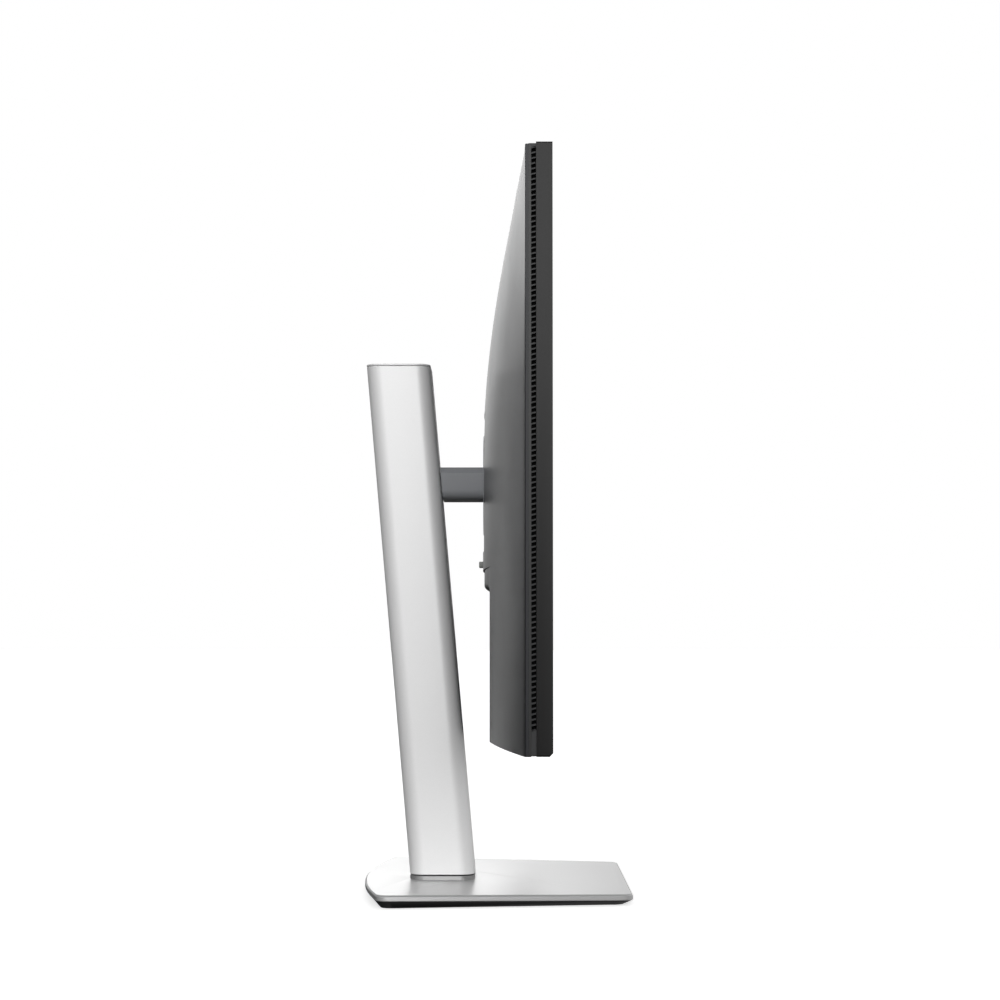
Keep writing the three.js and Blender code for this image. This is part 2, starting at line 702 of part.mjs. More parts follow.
function ioBracket() {
  const plate = block([-90, 90], [-17.8, 1.1], [BAY_CEILING + 0.3, BAY_CEILING + 1.2]);
  const mouths = SOCKETS.map((socket) => {
    const x = [socket.x - socket.halfWidth - 0.2, socket.x + socket.halfWidth + 0.2];
    const y = [socketY(socket) - socket.halfDepth - 0.2, socketY(socket) + socket.halfDepth + 0.2];
    return block(x, y, [170, 190]);
  });
  return piece("io_bracket", cut(plate, ...mouths), "steel");
}

/** A socket: a shell with a mouth that faces the desk. */
function socketShell({ name, x, halfWidth, halfDepth }, y) {
  const floor = BAY_CEILING + 1.5;
  const height = name === "power_inlet" ? 18 : 12;
  const outerX = halfWidth + SOCKET_WALL;
  const outerY = halfDepth + SOCKET_WALL;
  const shell = block([-outerX, outerX], [-outerY, outerY], [floor, floor + height]);
  const mouth = block([-halfWidth, halfWidth], [-halfDepth, halfDepth], [0, floor + height - 1.5]);
  const socket = piece(name, cut(shell, mouth), name === "power_inlet" ? "black" : "steel");
  socket.position.set(x, y, 0);
  return socket;
}

function boards() {
  const main = block([-50, 88], [BOARD_BACK - 1.6, BOARD_BACK], [BAY_CEILING + 1.5, 232]);
  const power = block([-240, -110], [-25.4, -23.8], [150, 300]);
  return [piece("main_board", main, "board"), piece("power_board", power, "board")];
}

// ---------------------------------------------------------------- the whole monitor

const base = group(basePlate(), baseTray(), swivelBush(), ...feet());

const column = group(
  columnShell(),
  columnCap(),
  cableLiner(),
  guideRail(-1, "guide_rail_left"),
  guideRail(1, "guide_rail_right"),
  footFlange(),
  swivelWasher(),
  swivelShaft(),
  swivelNut(),
);

const carriage = group(
  carriageBlock(),
  springRoll(),
  armBracket(),
  armCover(),
  tiltWasher("tilt_washer_left", -18.4),
  tiltWasher("tilt_washer_right", 18.4),
);

const tiltHead = group(
  pivotDisc(),
  pivotRetainer(),
  tiltEar("tilt_ear_left", -29.5),
  tiltEar("tilt_ear_right", 29.5),
  tiltShaft(),
);

const display = group(
  frontFrame(),
  ...panelLayers(),
  statusLamp(),
  ventBand(),
  rearCover(),
  vesaBracket(),
  quickReleasePlate(),
  portBay(),
  ioBracket(),
  ...SOCKETS.map((socket) => socketShell(socket, socketY(socket))),
  ...boards(),
  ...chinButtons(),
  releaseButton(),
);

export default group(base, column.add(carriage.add(tiltHead.add(display))));
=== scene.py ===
"""A desktop computer monitor on a leaning silver stand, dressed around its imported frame.

Every length is in metres unless a name says otherwise. X runs across the screen, the screen faces -Y
and +Z is up. Sizes and places come from the frame's own boxes and joints.
"""

import json
import logging
import math
from dataclasses import dataclass, field
from enum import Enum
from typing import Any, Callable, Iterable, Mapping, Sequence

import bmesh
import bpy
from mathutils import Euler, Matrix, Vector


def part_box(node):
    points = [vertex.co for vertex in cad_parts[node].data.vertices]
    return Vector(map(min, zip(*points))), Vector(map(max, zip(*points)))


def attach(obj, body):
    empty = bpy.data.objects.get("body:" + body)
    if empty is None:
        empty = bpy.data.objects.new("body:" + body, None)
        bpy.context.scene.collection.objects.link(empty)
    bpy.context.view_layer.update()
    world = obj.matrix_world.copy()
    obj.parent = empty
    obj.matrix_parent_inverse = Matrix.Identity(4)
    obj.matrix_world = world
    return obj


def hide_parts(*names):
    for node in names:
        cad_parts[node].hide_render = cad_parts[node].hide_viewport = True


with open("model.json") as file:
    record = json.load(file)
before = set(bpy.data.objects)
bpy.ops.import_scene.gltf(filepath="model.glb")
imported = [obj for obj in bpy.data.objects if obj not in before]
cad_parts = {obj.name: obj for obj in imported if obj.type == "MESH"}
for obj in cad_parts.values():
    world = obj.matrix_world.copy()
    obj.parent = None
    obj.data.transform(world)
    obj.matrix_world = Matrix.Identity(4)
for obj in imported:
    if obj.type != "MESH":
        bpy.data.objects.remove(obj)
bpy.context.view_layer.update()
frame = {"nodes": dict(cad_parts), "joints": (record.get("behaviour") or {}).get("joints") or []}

LOG = logging.getLogger("monitor")
MM = 0.001
HEAD_HEIGHT = 0.4  # a screw head's height, in radii
HEAD_SINK = 0.1  # how far its face lies below the surface, in radii
COLUMN_HALF = (32 * MM, 22.5 * MM)
COLUMN_CORNER = 11 * MM
WHITE = (1.0, 1.0, 1.0, 1.0)
Triple = tuple[float, float, float]
Colour = Triple
Span = tuple[float, float]
Stops = Sequence[Span]
Piece = bpy.types.Object
Material = bpy.types.Material
Socket = bpy.types.NodeSocket


# ---- shader graphs


@dataclass(frozen=True)
class Term:
    """A numeric socket that Python's operators turn into Math nodes."""

    graph: "NodeGraph"
    socket: Socket

    def _math(self, operation: str, left: Any, right: Any = 0.0) -> "Term":
        """Adds a Math node and gives its result."""
        node = self.graph.node("ShaderNodeMath", {"operation": operation}, {0: left, 1: right})
        return Term(self.graph, node.outputs[0])

    def __add__(self, other: Any) -> "Term":
        """Sum."""
        return self._math("ADD", self, other)

    def __mul__(self, other: Any) -> "Term":
        """Product."""
        return self._math("MULTIPLY", self, other)

    def __sub__(self, other: Any) -> "Term":
        """Difference."""
        return self._math("SUBTRACT", self, other)

    def __rsub__(self, other: Any) -> "Term":
        """Reflected difference."""
        return self._math("SUBTRACT", other, self)

    def __abs__(self) -> "Term":
        """Size without its sign."""
        return self._math("ABSOLUTE", self)

    def __gt__(self, other: Any) -> "Term":
        """One where this is greater, else nought."""
        return self._math("GREATER_THAN", self, other)

    def __lt__(self, other: Any) -> "Term":
        """One where this is less, else nought."""
        return self._math("LESS_THAN", self, other)


class NodeGraph:
    """A node tree and the ways to add to it."""

    def __init__(self, tree: bpy.types.NodeTree) -> None:
        """Takes over a tree and empties it."""
        self.tree = tree
        self.tree.nodes.clear()

    def plug(self, target: Socket, value: Any) -> None:
        """Sets a socket to a value or links it.

        Args:
            target: The socket.
            value: A number, a sequence, a socket or a Term.
        """
        if isinstance(value, Term):
            value = value.socket
        if isinstance(value, Socket):
            self.tree.links.new(value, target)
        else:
            target.default_value = value

    def node(
        self,
        kind: str,
        settings: Mapping[str, Any] | None = None,
        sockets: Mapping[int | str, Any] | None = None,
    ) -> bpy.types.Node:
        """Adds a node.

        Args:
            kind: The node's type name.
            settings: Its own settings; "stops" are a colour ramp's positions and colours.
            sockets: Values or links for its sockets, by name or number.

        Returns:
            The new node.
        """
        made = self.tree.nodes.new(kind)
        for key, value in (settings or {}).items():
            if key == "stops":
                ramp = made.color_ramp
                while len(ramp.elements) < len(value):
                    ramp.elements.new(0.5)
                for element, (position, colour) in zip(ramp.elements, value):
                    element.position = position
                    element.color = colour
            else:
                setattr(made, key, value)
        for key, value in (sockets or {}).items():
            self.plug(made.inputs[key], value)
        return made

    def split(self, vector: Socket) -> tuple[Term, Term, Term]:
        """The three parts of a vector."""
        parts = self.node("ShaderNodeSeparateXYZ", {}, {0: vector}).outputs
        return Term(self, parts[0]), Term(self, parts[1]), Term(self, parts[2])

    def ramp(self, place: Any, stops: Stops) -> Term:
        """A smooth ramp of greys, read at a place from nought to one."""
        colours = [(position, (grey, grey, grey, 1.0)) for position, grey in stops]
        return Term(self, self.node("ShaderNodeValToRGB", {"stops": colours}, {0: place}).outputs[0])


class Graph(NodeGraph):
    """The node graph of one material."""

    def __init__(self, name: str) -> None:
        """Starts a material with a Principled shader.

        Args:
            name: The material's name.
        """
        self.material = bpy.data.materials.new(name)
        self.material.use_nodes = True
        super().__init__(self.material.node_tree)
        self.shader = self.node("ShaderNodeBsdfPrincipled")
        self.node("ShaderNodeOutputMaterial", {}, {0: self.shader.outputs[0]})
        self.place = self.node("ShaderNodeTexCoord").outputs["Object"]

    def noise(self, size: float, detail: float = 2.0, stretch: Sequence[float] = (1, 1, 1)) -> Term:
        """Cloudy noise from nought to one.

        Args:
            size: How wide one cloud is.
            detail: How many finer layers it has.
            stretch: How the pattern is squeezed along X, Y and Z.

        Returns:
            The noise's value.
        """
        mapping = self.node("ShaderNodeMapping", {}, {"Vector": self.place, "Scale": tuple(stretch)})
        texture = self.node(
            "ShaderNodeTexNoise",
            {"noise_dimensions": "3D"},
            {"Vector": mapping.outputs[0], "Scale": 1.0 / size, "Detail": detail, "Roughness": 0.55},
        )
        return Term(self, texture.outputs["Fac"])

    def cells(self, size: float) -> Term:
        """Distance to the nearest point of a scatter whose points are a size apart."""
        sockets = {"Vector": self.place, "Scale": 1.0 / size}
        return Term(self, self.node("ShaderNodeTexVoronoi", {}, sockets).outputs["Distance"])

    def axis(self, name: str) -> Term:
        """The X, Y or Z coordinate of the point being shaded, in metres."""
        return self.split(self.place)["XYZ".index(name)]

    def blend(self, share: Any, low: Colour, high: Any) -> Socket:
        """Mixes two colours.

        Args:
            share: How much of the second colour shows, from nought to one.
            low: The first colour, or a link.
            high: The second colour, or a link.

        Returns:
            The mixed colour.
        """
        mix = self.node("ShaderNodeMix", {"data_type": "RGBA", "clamp_factor": True})
        self.plug(mix.inputs["Factor"], share)
        for target, value in ((mix.inputs[6], low), (mix.inputs[7], high)):
            self.plug(target, (*value, 1.0) if isinstance(value, tuple) else value)
        return mix.outputs[2]

    def relief(self, height: Any, depth: float, strength: float = 1.0) -> None:
        """Feeds a height, worth a depth in metres at one, into the shader's normal."""
        sockets = {"Height": height, "Distance": depth, "Strength": strength}
        self.plug(self.shader.inputs["Normal"], self.node("ShaderNodeBump", {}, sockets).outputs[0])

    def set(self, **values: Any) -> None:
        """Sets the shader's sockets, named with underscores for spaces."""
        for key, value in values.items():
            self.plug(self.shader.inputs[key.replace("_", " ")], value)


# ---- finishes


def scaled(colour: Colour, factor: float) -> Colour:
    """A colour with each channel multiplied by a factor."""
    return (colour[0] * factor, colour[1] * factor, colour[2] * factor)


@dataclass(frozen=True)
class MouldedPlastic:
    """Injection-moulded plastic with a fine spark-eroded texture."""

    name: str
    colour: Colour
    roughness: float = 0.5
    grain: float = 0.5 * MM
    relief: float = 0.02 * MM
    specular: float = 0.5

    def material(self) -> Material:
        """Builds the material."""
        graph = Graph(self.name)
        drift = graph.noise(60 * MM, 3)
        speckle = graph.noise(self.grain, 2)
        tone = drift * 0.6 + speckle * 0.4
        colour = graph.blend(tone, scaled(self.colour, 0.9), scaled(self.colour, 1.1))
        graph.set(
            Base_Color=colour,
            Roughness=drift * 0.06 + speckle * 0.08 + (self.roughness - 0.07),
            Specular_IOR_Level=self.specular,
        )
        graph.relief(speckle + graph.cells(self.grain * 1.4) * 0.6, self.relief, 0.5)
        return graph.material


@dataclass(frozen=True)
class SatinMetal:
    """Bead-blasted and anodised or silver-painted metal."""

    name: str
    colour: Colour
    roughness: float = 0.36
    grain: float = 0.7 * MM
    metallic: float = 1.0

    def material(self) -> Material:
        """Builds the material."""
        graph = Graph(self.name)
        drift = graph.noise(90 * MM, 2)
        sparkle = graph.noise(self.grain, 3)
        tone = drift * 0.35 + sparkle * 0.65
        colour = graph.blend(tone, scaled(self.colour, 0.94), scaled(self.colour, 1.06))
        graph.set(
            Base_Color=self.with_painted_shade(graph, colour),
            Roughness=sparkle * 0.12 + drift * 0.04 + (self.roughness - 0.08),
            Metallic=self.metallic,
        )
        graph.relief(sparkle + graph.cells(self.grain) * 0.5, 0.012 * MM, 0.45)
        return graph.material

    def with_painted_shade(self, graph: Graph, colour: Socket) -> Socket:
        """The colour with any painted shade added; here there is none."""
        return colour


@dataclass(frozen=True)
class PlinthMetalWithPaintedShade(SatinMetal):
    """Satin metal with painted shade: a darker pad where the column stands, standing for the shade at the
    column's foot.
    """

    middle: Span = (0.0, 0.0)
    half: Span = COLUMN_HALF
    corner: float = COLUMN_CORNER
    pad_height: float = 6 * MM
    pad_margin: float = 0.1 * MM
    # The pad's darkening is painted shade at the column's foot; this share sets how dark it is
    pad_shade_share: float = 0.5

    def with_painted_shade(self, graph: Graph, colour: Socket) -> Socket:
        """Paints shade on the pad where the column stands.

        Args:
            graph: The material's graph.
            colour: The metal's colour.

        Returns:
            The colour with the painted shade on the pad.
        """
        squares = []
        for name, middle, half in zip("XY", self.middle, self.half):
            beyond = abs(graph.axis(name) - middle) - (half - self.corner)
            beyond = beyond * (beyond > 0)
            squares.append(beyond * beyond)
        reach = self.corner + self.pad_margin
        inside = (squares[0] + squares[1] < reach * reach) * (graph.axis("Z") > self.pad_height)
        return graph.blend(inside, colour, scaled(self.colour, self.pad_shade_share))


@dataclass(frozen=True)
class SheetMetal:
    """Rolled or turned steel with fine lines along one axis."""

    name: str
    colour: Colour
    roughness: float = 0.35
    along: Triple = (0.04, 1.0, 1.0)

    def material(self) -> Material:
        """Builds the material."""
        graph = Graph(self.name)
        lines = graph.noise(0.6 * MM, 2, self.along)
        stain = graph.noise(25 * MM, 4)
        graph.set(
            Base_Color=graph.blend(lines * 0.5 + stain * 0.5, scaled(self.colour, 0.78), self.colour),
            Roughness=lines * 0.15 + stain * 0.15 + (self.roughness - 0.12),
            Metallic=1.0,
        )
        graph.relief(lines, 0.01 * MM, 0.5)
        return graph.material


@dataclass(frozen=True)
class RubberPad:
    """Dull black rubber, scuffed where it meets the desk."""

    name: str = "rubber_pad"
    colour: Colour = (0.016, 0.016, 0.017)

    def material(self) -> Material:
        """Builds the material."""
        graph = Graph(self.name)
        scuff = graph.noise(3 * MM, 5)
        graph.set(
            Base_Color=graph.blend(scuff, self.colour, scaled(self.colour, 2.2)),
            Roughness=scuff * 0.15 + 0.78,
        )
        graph.relief(scuff, 0.05 * MM, 0.6)
        return graph.material


@dataclass(frozen=True)
class PanelGlass:
    """The switched-off panel: an anti-glare face with a black border round the picture area."""

    name: str
    half_width: float
    low: float
    high: float

    def material(self) -> Material:
        """Builds the material."""
        graph = Graph(self.name)
        inside = abs(graph.axis("X")) < self.half_width
        inside = inside * (graph.axis("Z") > self.low) * (graph.axis("Z") < self.high)
        haze = graph.noise(0.12 * MM, 1)
        cloud = graph.noise(140 * MM, 2)
        picture = graph.blend(cloud, (0.0045, 0.0048, 0.0056), (0.007, 0.0074, 0.0084))
        graph.set(
            Base_Color=graph.blend(inside, (0.0022, 0.0022, 0.0024), picture),
            Roughness=haze * 0.08 + inside * 0.06 + 0.2,
            Specular_IOR_Level=0.42,
        )
        graph.relief(haze, 0.004 * MM, 0.35)
        return graph.material


@dataclass(frozen=True)
class CircuitBoard:
    """Green lacquered board with copper tracks and tinned pads."""

    name: str = "circuit_board"

    def material(self) -> Material:
        """Builds the material."""
        graph = Graph(self.name)
        upright = {"Vector": graph.place, "Rotation": (math.pi / 2, 0, 0)}
        mapping = graph.node("ShaderNodeMapping", {}, upright)
        sockets = {"Vector": mapping.outputs[0], "Scale": 90.0, "Mortar Size": 0.03, "Bias": -0.2}
        bricks = graph.node("ShaderNodeTexBrick", {"offset": 0.37}, sockets)
        tracks = Term(graph, bricks.outputs["Fac"])
        pads = graph.cells(4 * MM) < 0.22
        green = graph.blend(tracks, (0.008, 0.075, 0.03), (0.02, 0.13, 0.055))
        graph.set(
            Base_Color=graph.blend(pads, green, (0.62, 0.6, 0.52)),
            Metallic=pads * 0.9,
            Roughness=graph.noise(2 * MM) * 0.1 + 0.28,
        )
        graph.relief(tracks + pads, 0.05 * MM)
        return graph.material


@dataclass(frozen=True)
class FrostedLens:
    """Milky plastic that spreads light."""

    name: str
    colour: Colour

    def material(self) -> Material:
        """Builds the material."""
        graph = Graph(self.name)
        frost = graph.noise(0.4 * MM, 3)
        graph.set(
            Base_Color=graph.blend(frost, scaled(self.colour, 0.9), self.colour),
            Roughness=frost * 0.2 + 0.35,
            Subsurface_Weight=0.15,
        )
        graph.relief(frost, 0.02 * MM, 0.4)
        return graph.material


class Finishes:
    """Every finish of the monitor, each built once."""

    def __init__(self) -> None:
        """Builds the materials."""
        self.column = SatinMetal("column_silver", (0.88, 0.88, 0.88), 0.45, metallic=0.2).material()
        low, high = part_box("swivel_washer")
        # The base's silver carries painted shade: a darker pad where the column stands
        self.base = PlinthMetalWithPaintedShade(
            "base_silver_with_painted_shade", (0.56, 0.56, 0.56), 0.32, 0.5 * MM, 0.4,
            middle=((low.x + high.x) / 2, (low.y + high.y) / 2),
        ).material()
        self.arm = MouldedPlastic("arm_blue_grey", (0.285, 0.293, 0.31), 0.38).material()
        self.cover = MouldedPlastic(
            "cover_grey", (0.024, 0.025, 0.029), 0.3, 0.6 * MM, 0.008 * MM, 0.36
        ).material()
        self.front = MouldedPlastic("front_black", (0.012, 0.0118, 0.0118), 0.4, specular=0.35).material()
        self.black = MouldedPlastic("plain_black", (0.01, 0.01, 0.011), 0.6).material()
        self.tray = MouldedPlastic("tray_black", (0.035, 0.035, 0.036), 0.5).material()
        self.flange = MouldedPlastic("flange_grey", (0.034, 0.0345, 0.034), 0.45).material()
        self.vent = MouldedPlastic("vent_black", (0.022, 0.023, 0.024), 0.45).material()
        # Near-black floor under the vent slots: painted shade for the dark inside of the housing seen
        # through them
        self.dark = MouldedPlastic("vent_floor_painted_shade", (0.002, 0.002, 0.002), 0.9, specular=0.1).material()
        self.button = MouldedPlastic("button_black", (0.02, 0.02, 0.022), 0.38).material()
        self.tab = MouldedPlastic("tab_grey", (0.3, 0.31, 0.3), 0.45).material()
        self.steel = SheetMetal("plain_steel", (0.42, 0.42, 0.43)).material()
        self.nickel = SheetMetal("socket_nickel", (0.66, 0.65, 0.62), 0.25).material()
        self.sheet = SheetMetal("zinc_sheet", (0.55, 0.56, 0.57), 0.4, (1.0, 1.0, 0.05)).material()
        self.gold = SheetMetal("contact_gold", (0.75, 0.55, 0.2), 0.25).material()
        self.rubber = RubberPad().material()
        self.board = CircuitBoard().material()
        self.lens = FrostedLens("lamp_lens", (0.8, 0.83, 0.86)).material()
        self.diffuser = FrostedLens("diffuser_white", (0.8, 0.8, 0.78)).material()


# ---- mesh workshop


class Body(Enum):
    """The rigid bodies of the frame that pieces ride on."""

    BASE = "base"
    COLUMN = "column"
    CARRIAGE = "carriage"
    TILT = "tilt_head"
    DISPLAY = "display"


@dataclass
class Shape:
    """A mesh under construction."""

    mesh: bmesh.types.BMesh = field(default_factory=bmesh.new)

    @classmethod
    def slab(cls, half: Sequence[float], depth: float, radius: float, steps: int) -> "Shape":
        """A rounded rectangle in X and Y, with its thickness along Z from nought.

        Args:
            half: Half its width and half its height.
            depth: Its thickness.
            radius: The corners' radius.
            steps: Faces round each corner.

        Returns:
            The shape.
        """
        made = cls()
        bmesh.ops.create_grid(made.mesh, x_segments=1, y_segments=1, size=1)
        bmesh.ops.scale(made.mesh, vec=(half[0], half[1], 1), verts=made.mesh.verts)
        if radius > 0:
            bmesh.ops.bevel(
                made.mesh, geom=list(made.mesh.verts), offset=radius, offset_type="OFFSET",
                segments=steps, profile=0.5, affect="VERTICES", material=-1,
            )
        made.thicken(depth)
        return made

    @classmethod
    def disc(cls, radius: float, depth: float, steps: int) -> "Shape":
        """A disc in X and Y, with its thickness along Z from nought.

        Args:
            radius: Its radius.
            depth: Its thickness.
            steps: Faces round it.

        Returns:
            The shape.
        """
        made = cls()
        bmesh.ops.create_circle(made.mesh, cap_ends=True, segments=steps, radius=radius)
        made.thicken(depth)
        return made

    @classmethod
    def block(cls, low: Sequence[float], high: Sequence[float]) -> "Shape":
        """A box between two corners.

        Args:
            low: The lowest corner.
            high: The highest corner.

        Returns:
            The shape.
        """
        made = cls()
        bmesh.ops.create_cube(made.mesh, size=1)
        size = Vector(high) - Vector(low)
        bmesh.ops.scale(made.mesh, vec=size, verts=made.mesh.verts)
        return made.move((Vector(high) + Vector(low)) / 2)

    @classmethod
    def copy_of(cls, node: str) -> "Shape":
        """A frame node's solid, with its loose triangles merged.

        Args:
            node: The node's name.

        Returns:
            The shape.
        """
        made = cls()
        made.mesh.from_mesh(frame["nodes"][node].data)
        bmesh.ops.remove_doubles(made.mesh, verts=made.mesh.verts, dist=0.002 * MM)
        bmesh.ops.dissolve_limit(
            made.mesh, angle_limit=math.radians(0.6), verts=made.mesh.verts, edges=made.mesh.edges
        )
        return made

    def thicken(self, depth: float) -> "Shape":
        """Extrudes the flat faces along Z.

        Args:
            depth: How far.

        Returns:
            The shape itself.
        """
        made = bmesh.ops.extrude_face_region(self.mesh, geom=list(self.mesh.faces))
        verts = [item for item in made["geom"] if isinstance(item, bmesh.types.BMVert)]
        bmesh.ops.translate(self.mesh, vec=(0, 0, depth), verts=verts)
        return self.tidy()

    def tidy(self) -> "Shape":
        """Merges doubles and turns the faces outwards."""
        bmesh.ops.remove_doubles(self.mesh, verts=self.mesh.verts, dist=0.001 * MM)
        bmesh.ops.recalc_face_normals(self.mesh, faces=self.mesh.faces)
        return self

    def move(self, offset: Sequence[float]) -> "Shape":
        """Shifts the whole shape."""
        bmesh.ops.translate(self.mesh, vec=Vector(offset), verts=self.mesh.verts)
        return self

    def turn(self, degrees: float, axis: str) -> "Shape":
        """Turns the whole shape about an axis through the origin."""
        matrix = Matrix.Rotation(math.radians(degrees), 3, axis)
        bmesh.ops.rotate(self.mesh, cent=(0, 0, 0), matrix=matrix, verts=self.mesh.verts)
        return self

    def shape_by(self, rule: Callable[[Vector], Vector]) -> "Shape":
        """Moves every vertex by a rule.

        Args:
            rule: Gives the new place for an old one.

        Returns:
            The shape itself.
        """
        for vert in self.mesh.verts:
            vert.co = rule(vert.co)
        return self

    def soften(self, width: float, steps: int) -> "Shape":
        """Rounds every edge sharper than 30 degrees.

        Args:
            width: The bevel's width.
            steps: Faces across it.

        Returns:
            The shape itself.
        """
        least = math.radians(30)
        sharp = [edge for edge in self.mesh.edges if edge.calc_face_angle(0.0) > least]
        bmesh.ops.bevel(
            self.mesh, geom=sharp, offset=width, offset_type="OFFSET", segments=steps,
            profile=0.5, affect="EDGES", clamp_overlap=True, material=-1,
        )
        return self

    def add(self, other: "Shape") -> "Shape":
        """Takes in another shape's faces.

        Args:
            other: The other shape, used up by this.

        Returns:
            The shape itself.
        """
        spare = bpy.data.meshes.new("spare")
        other.mesh.to_mesh(spare)
        other.mesh.free()
        self.mesh.from_mesh(spare)
        bpy.data.meshes.remove(spare)
        return self

    def to_object(self, name: str) -> Piece:
        """Makes an object of the shape.

        Args:
            name: The object's name.

        Returns:
            The object, linked to the scene.
        """
        data = bpy.data.meshes.new(name)
        self.mesh.to_mesh(data)
        self.mesh.free()
        made = bpy.data.objects.new(name, data)
        bpy.context.scene.collection.objects.link(made)
        return made


def carve(piece: Piece, cutters: Iterable[Shape]) -> None:
    """Cuts shapes out of a piece and keeps the result in its mesh.

    Args:
        piece: The piece that is cut.
        cutters: Closed shapes, used up by this.
    """
    tools = [cutter.to_object("cutter") for cutter in cutters]
    for tool in tools:
        cut = piece.modifiers.new("cut", "BOOLEAN")
        cut.operation = "DIFFERENCE"
        cut.solver = "EXACT"
        cut.object = tool
    evaluated = piece.evaluated_get(bpy.context.evaluated_depsgraph_get())
    old = piece.data
    piece.data = bpy.data.meshes.new_from_object(evaluated)
    piece.modifiers.clear()
    piece.data.name = old.name
    bpy.data.meshes.remove(old)
    for tool in tools:
        bpy.data.objects.remove(tool)


def round_edges(piece: Piece, width: float, steps: int = 2) -> None:
    """Adds a bevel that rounds a piece's sharp edges.

    Args:
        piece: The piece.
        width: The bevel's width.
        steps: Faces across it.
    """
    bevel = piece.modifiers.new("bevel", "BEVEL")
    bevel.width = width
    bevel.segments = steps
    bevel.limit_method = "ANGLE"
    bevel.angle_limit = math.radians(35)
    bevel.harden_normals = True


def show(
    piece: Piece,
    body: Body | str,
    material: Material,
    stands_for: Sequence[str] = (),
    crease: float = 35,
) -> None:
    """Finishes a piece: its material, its shading, its body and what it stands for.

    Args:
        piece: The piece.
        body: The body it rides on.
        material: Its material.
        stands_for: The frame's nodes that it replaces.
        crease: Edges sharper than this many degrees stay sharp.
    """
    piece.data.materials.clear()
    piece.data.materials.append(material)
    piece.data.shade_smooth()
    piece.data.set_sharp_from_angle(angle=math.radians(crease))
    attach(piece, body.value if isinstance(body, Body) else body)
    if stands_for:
        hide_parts(*stands_for)
    LOG.info("%s: %d faces", piece.name, len(piece.data.polygons))


def dress(nodes: Iterable[str], material: Material) -> None:
    """Gives frame nodes that stay in view a better material.

    Args:
        nodes: The nodes' names.
        material: The material.
    """
    for node in nodes:
        data = frame["nodes"][node].data
        data.materials.clear()
        data.materials.append(material)
        LOG.info("%s: dressed in %s", node, material.name)


def bevelled_copy(
    node: str, name: str, body: Body | str, material: Material, width: float,
    steps: int = 2, rule: Callable[[Vector], Vector] | None = None,
) -> None:
    """A frame node's solid with its sharp edges rounded.

    Args:
        node: The node that it stands for.
        name: The new piece's name.
        body: The body it rides on.
        material: Its material.
        width: The bevel's width.
        steps: Faces across the bevel.
        rule: Gives the new place for each vertex's old one.
    """
    shape = Shape.copy_of(node)
    if rule:
        shape.shape_by(rule)
    piece = shape.to_object(name)
    round_edges(piece, width, steps)
    show(piece, body, material, [node])


# ---- base


@dataclass
class Base:
    """The foot of the stand: silver plate, black tray and rubber pads."""

    finishes: Finishes
    edge: float = 0.35 * MM
    pad_edge: float = 0.25 * MM

    def build(self) -> None:
        """Builds and dresses the base."""
        finishes, body = self.finishes, Body.BASE
        bevelled_copy("base_plate", "base_top", body, finishes.base, self.edge)
        bevelled_copy("base_tray", "base_under_tray", body, finishes.tray, self.edge)
        for number in range(1, 7):
            pad = f"foot_pad_{number}"
            bevelled_copy(f"rubber_foot_{number}", pad, body, finishes.rubber, self.pad_edge)
        dress(["swivel_bush"], finishes.black)


# ---- column


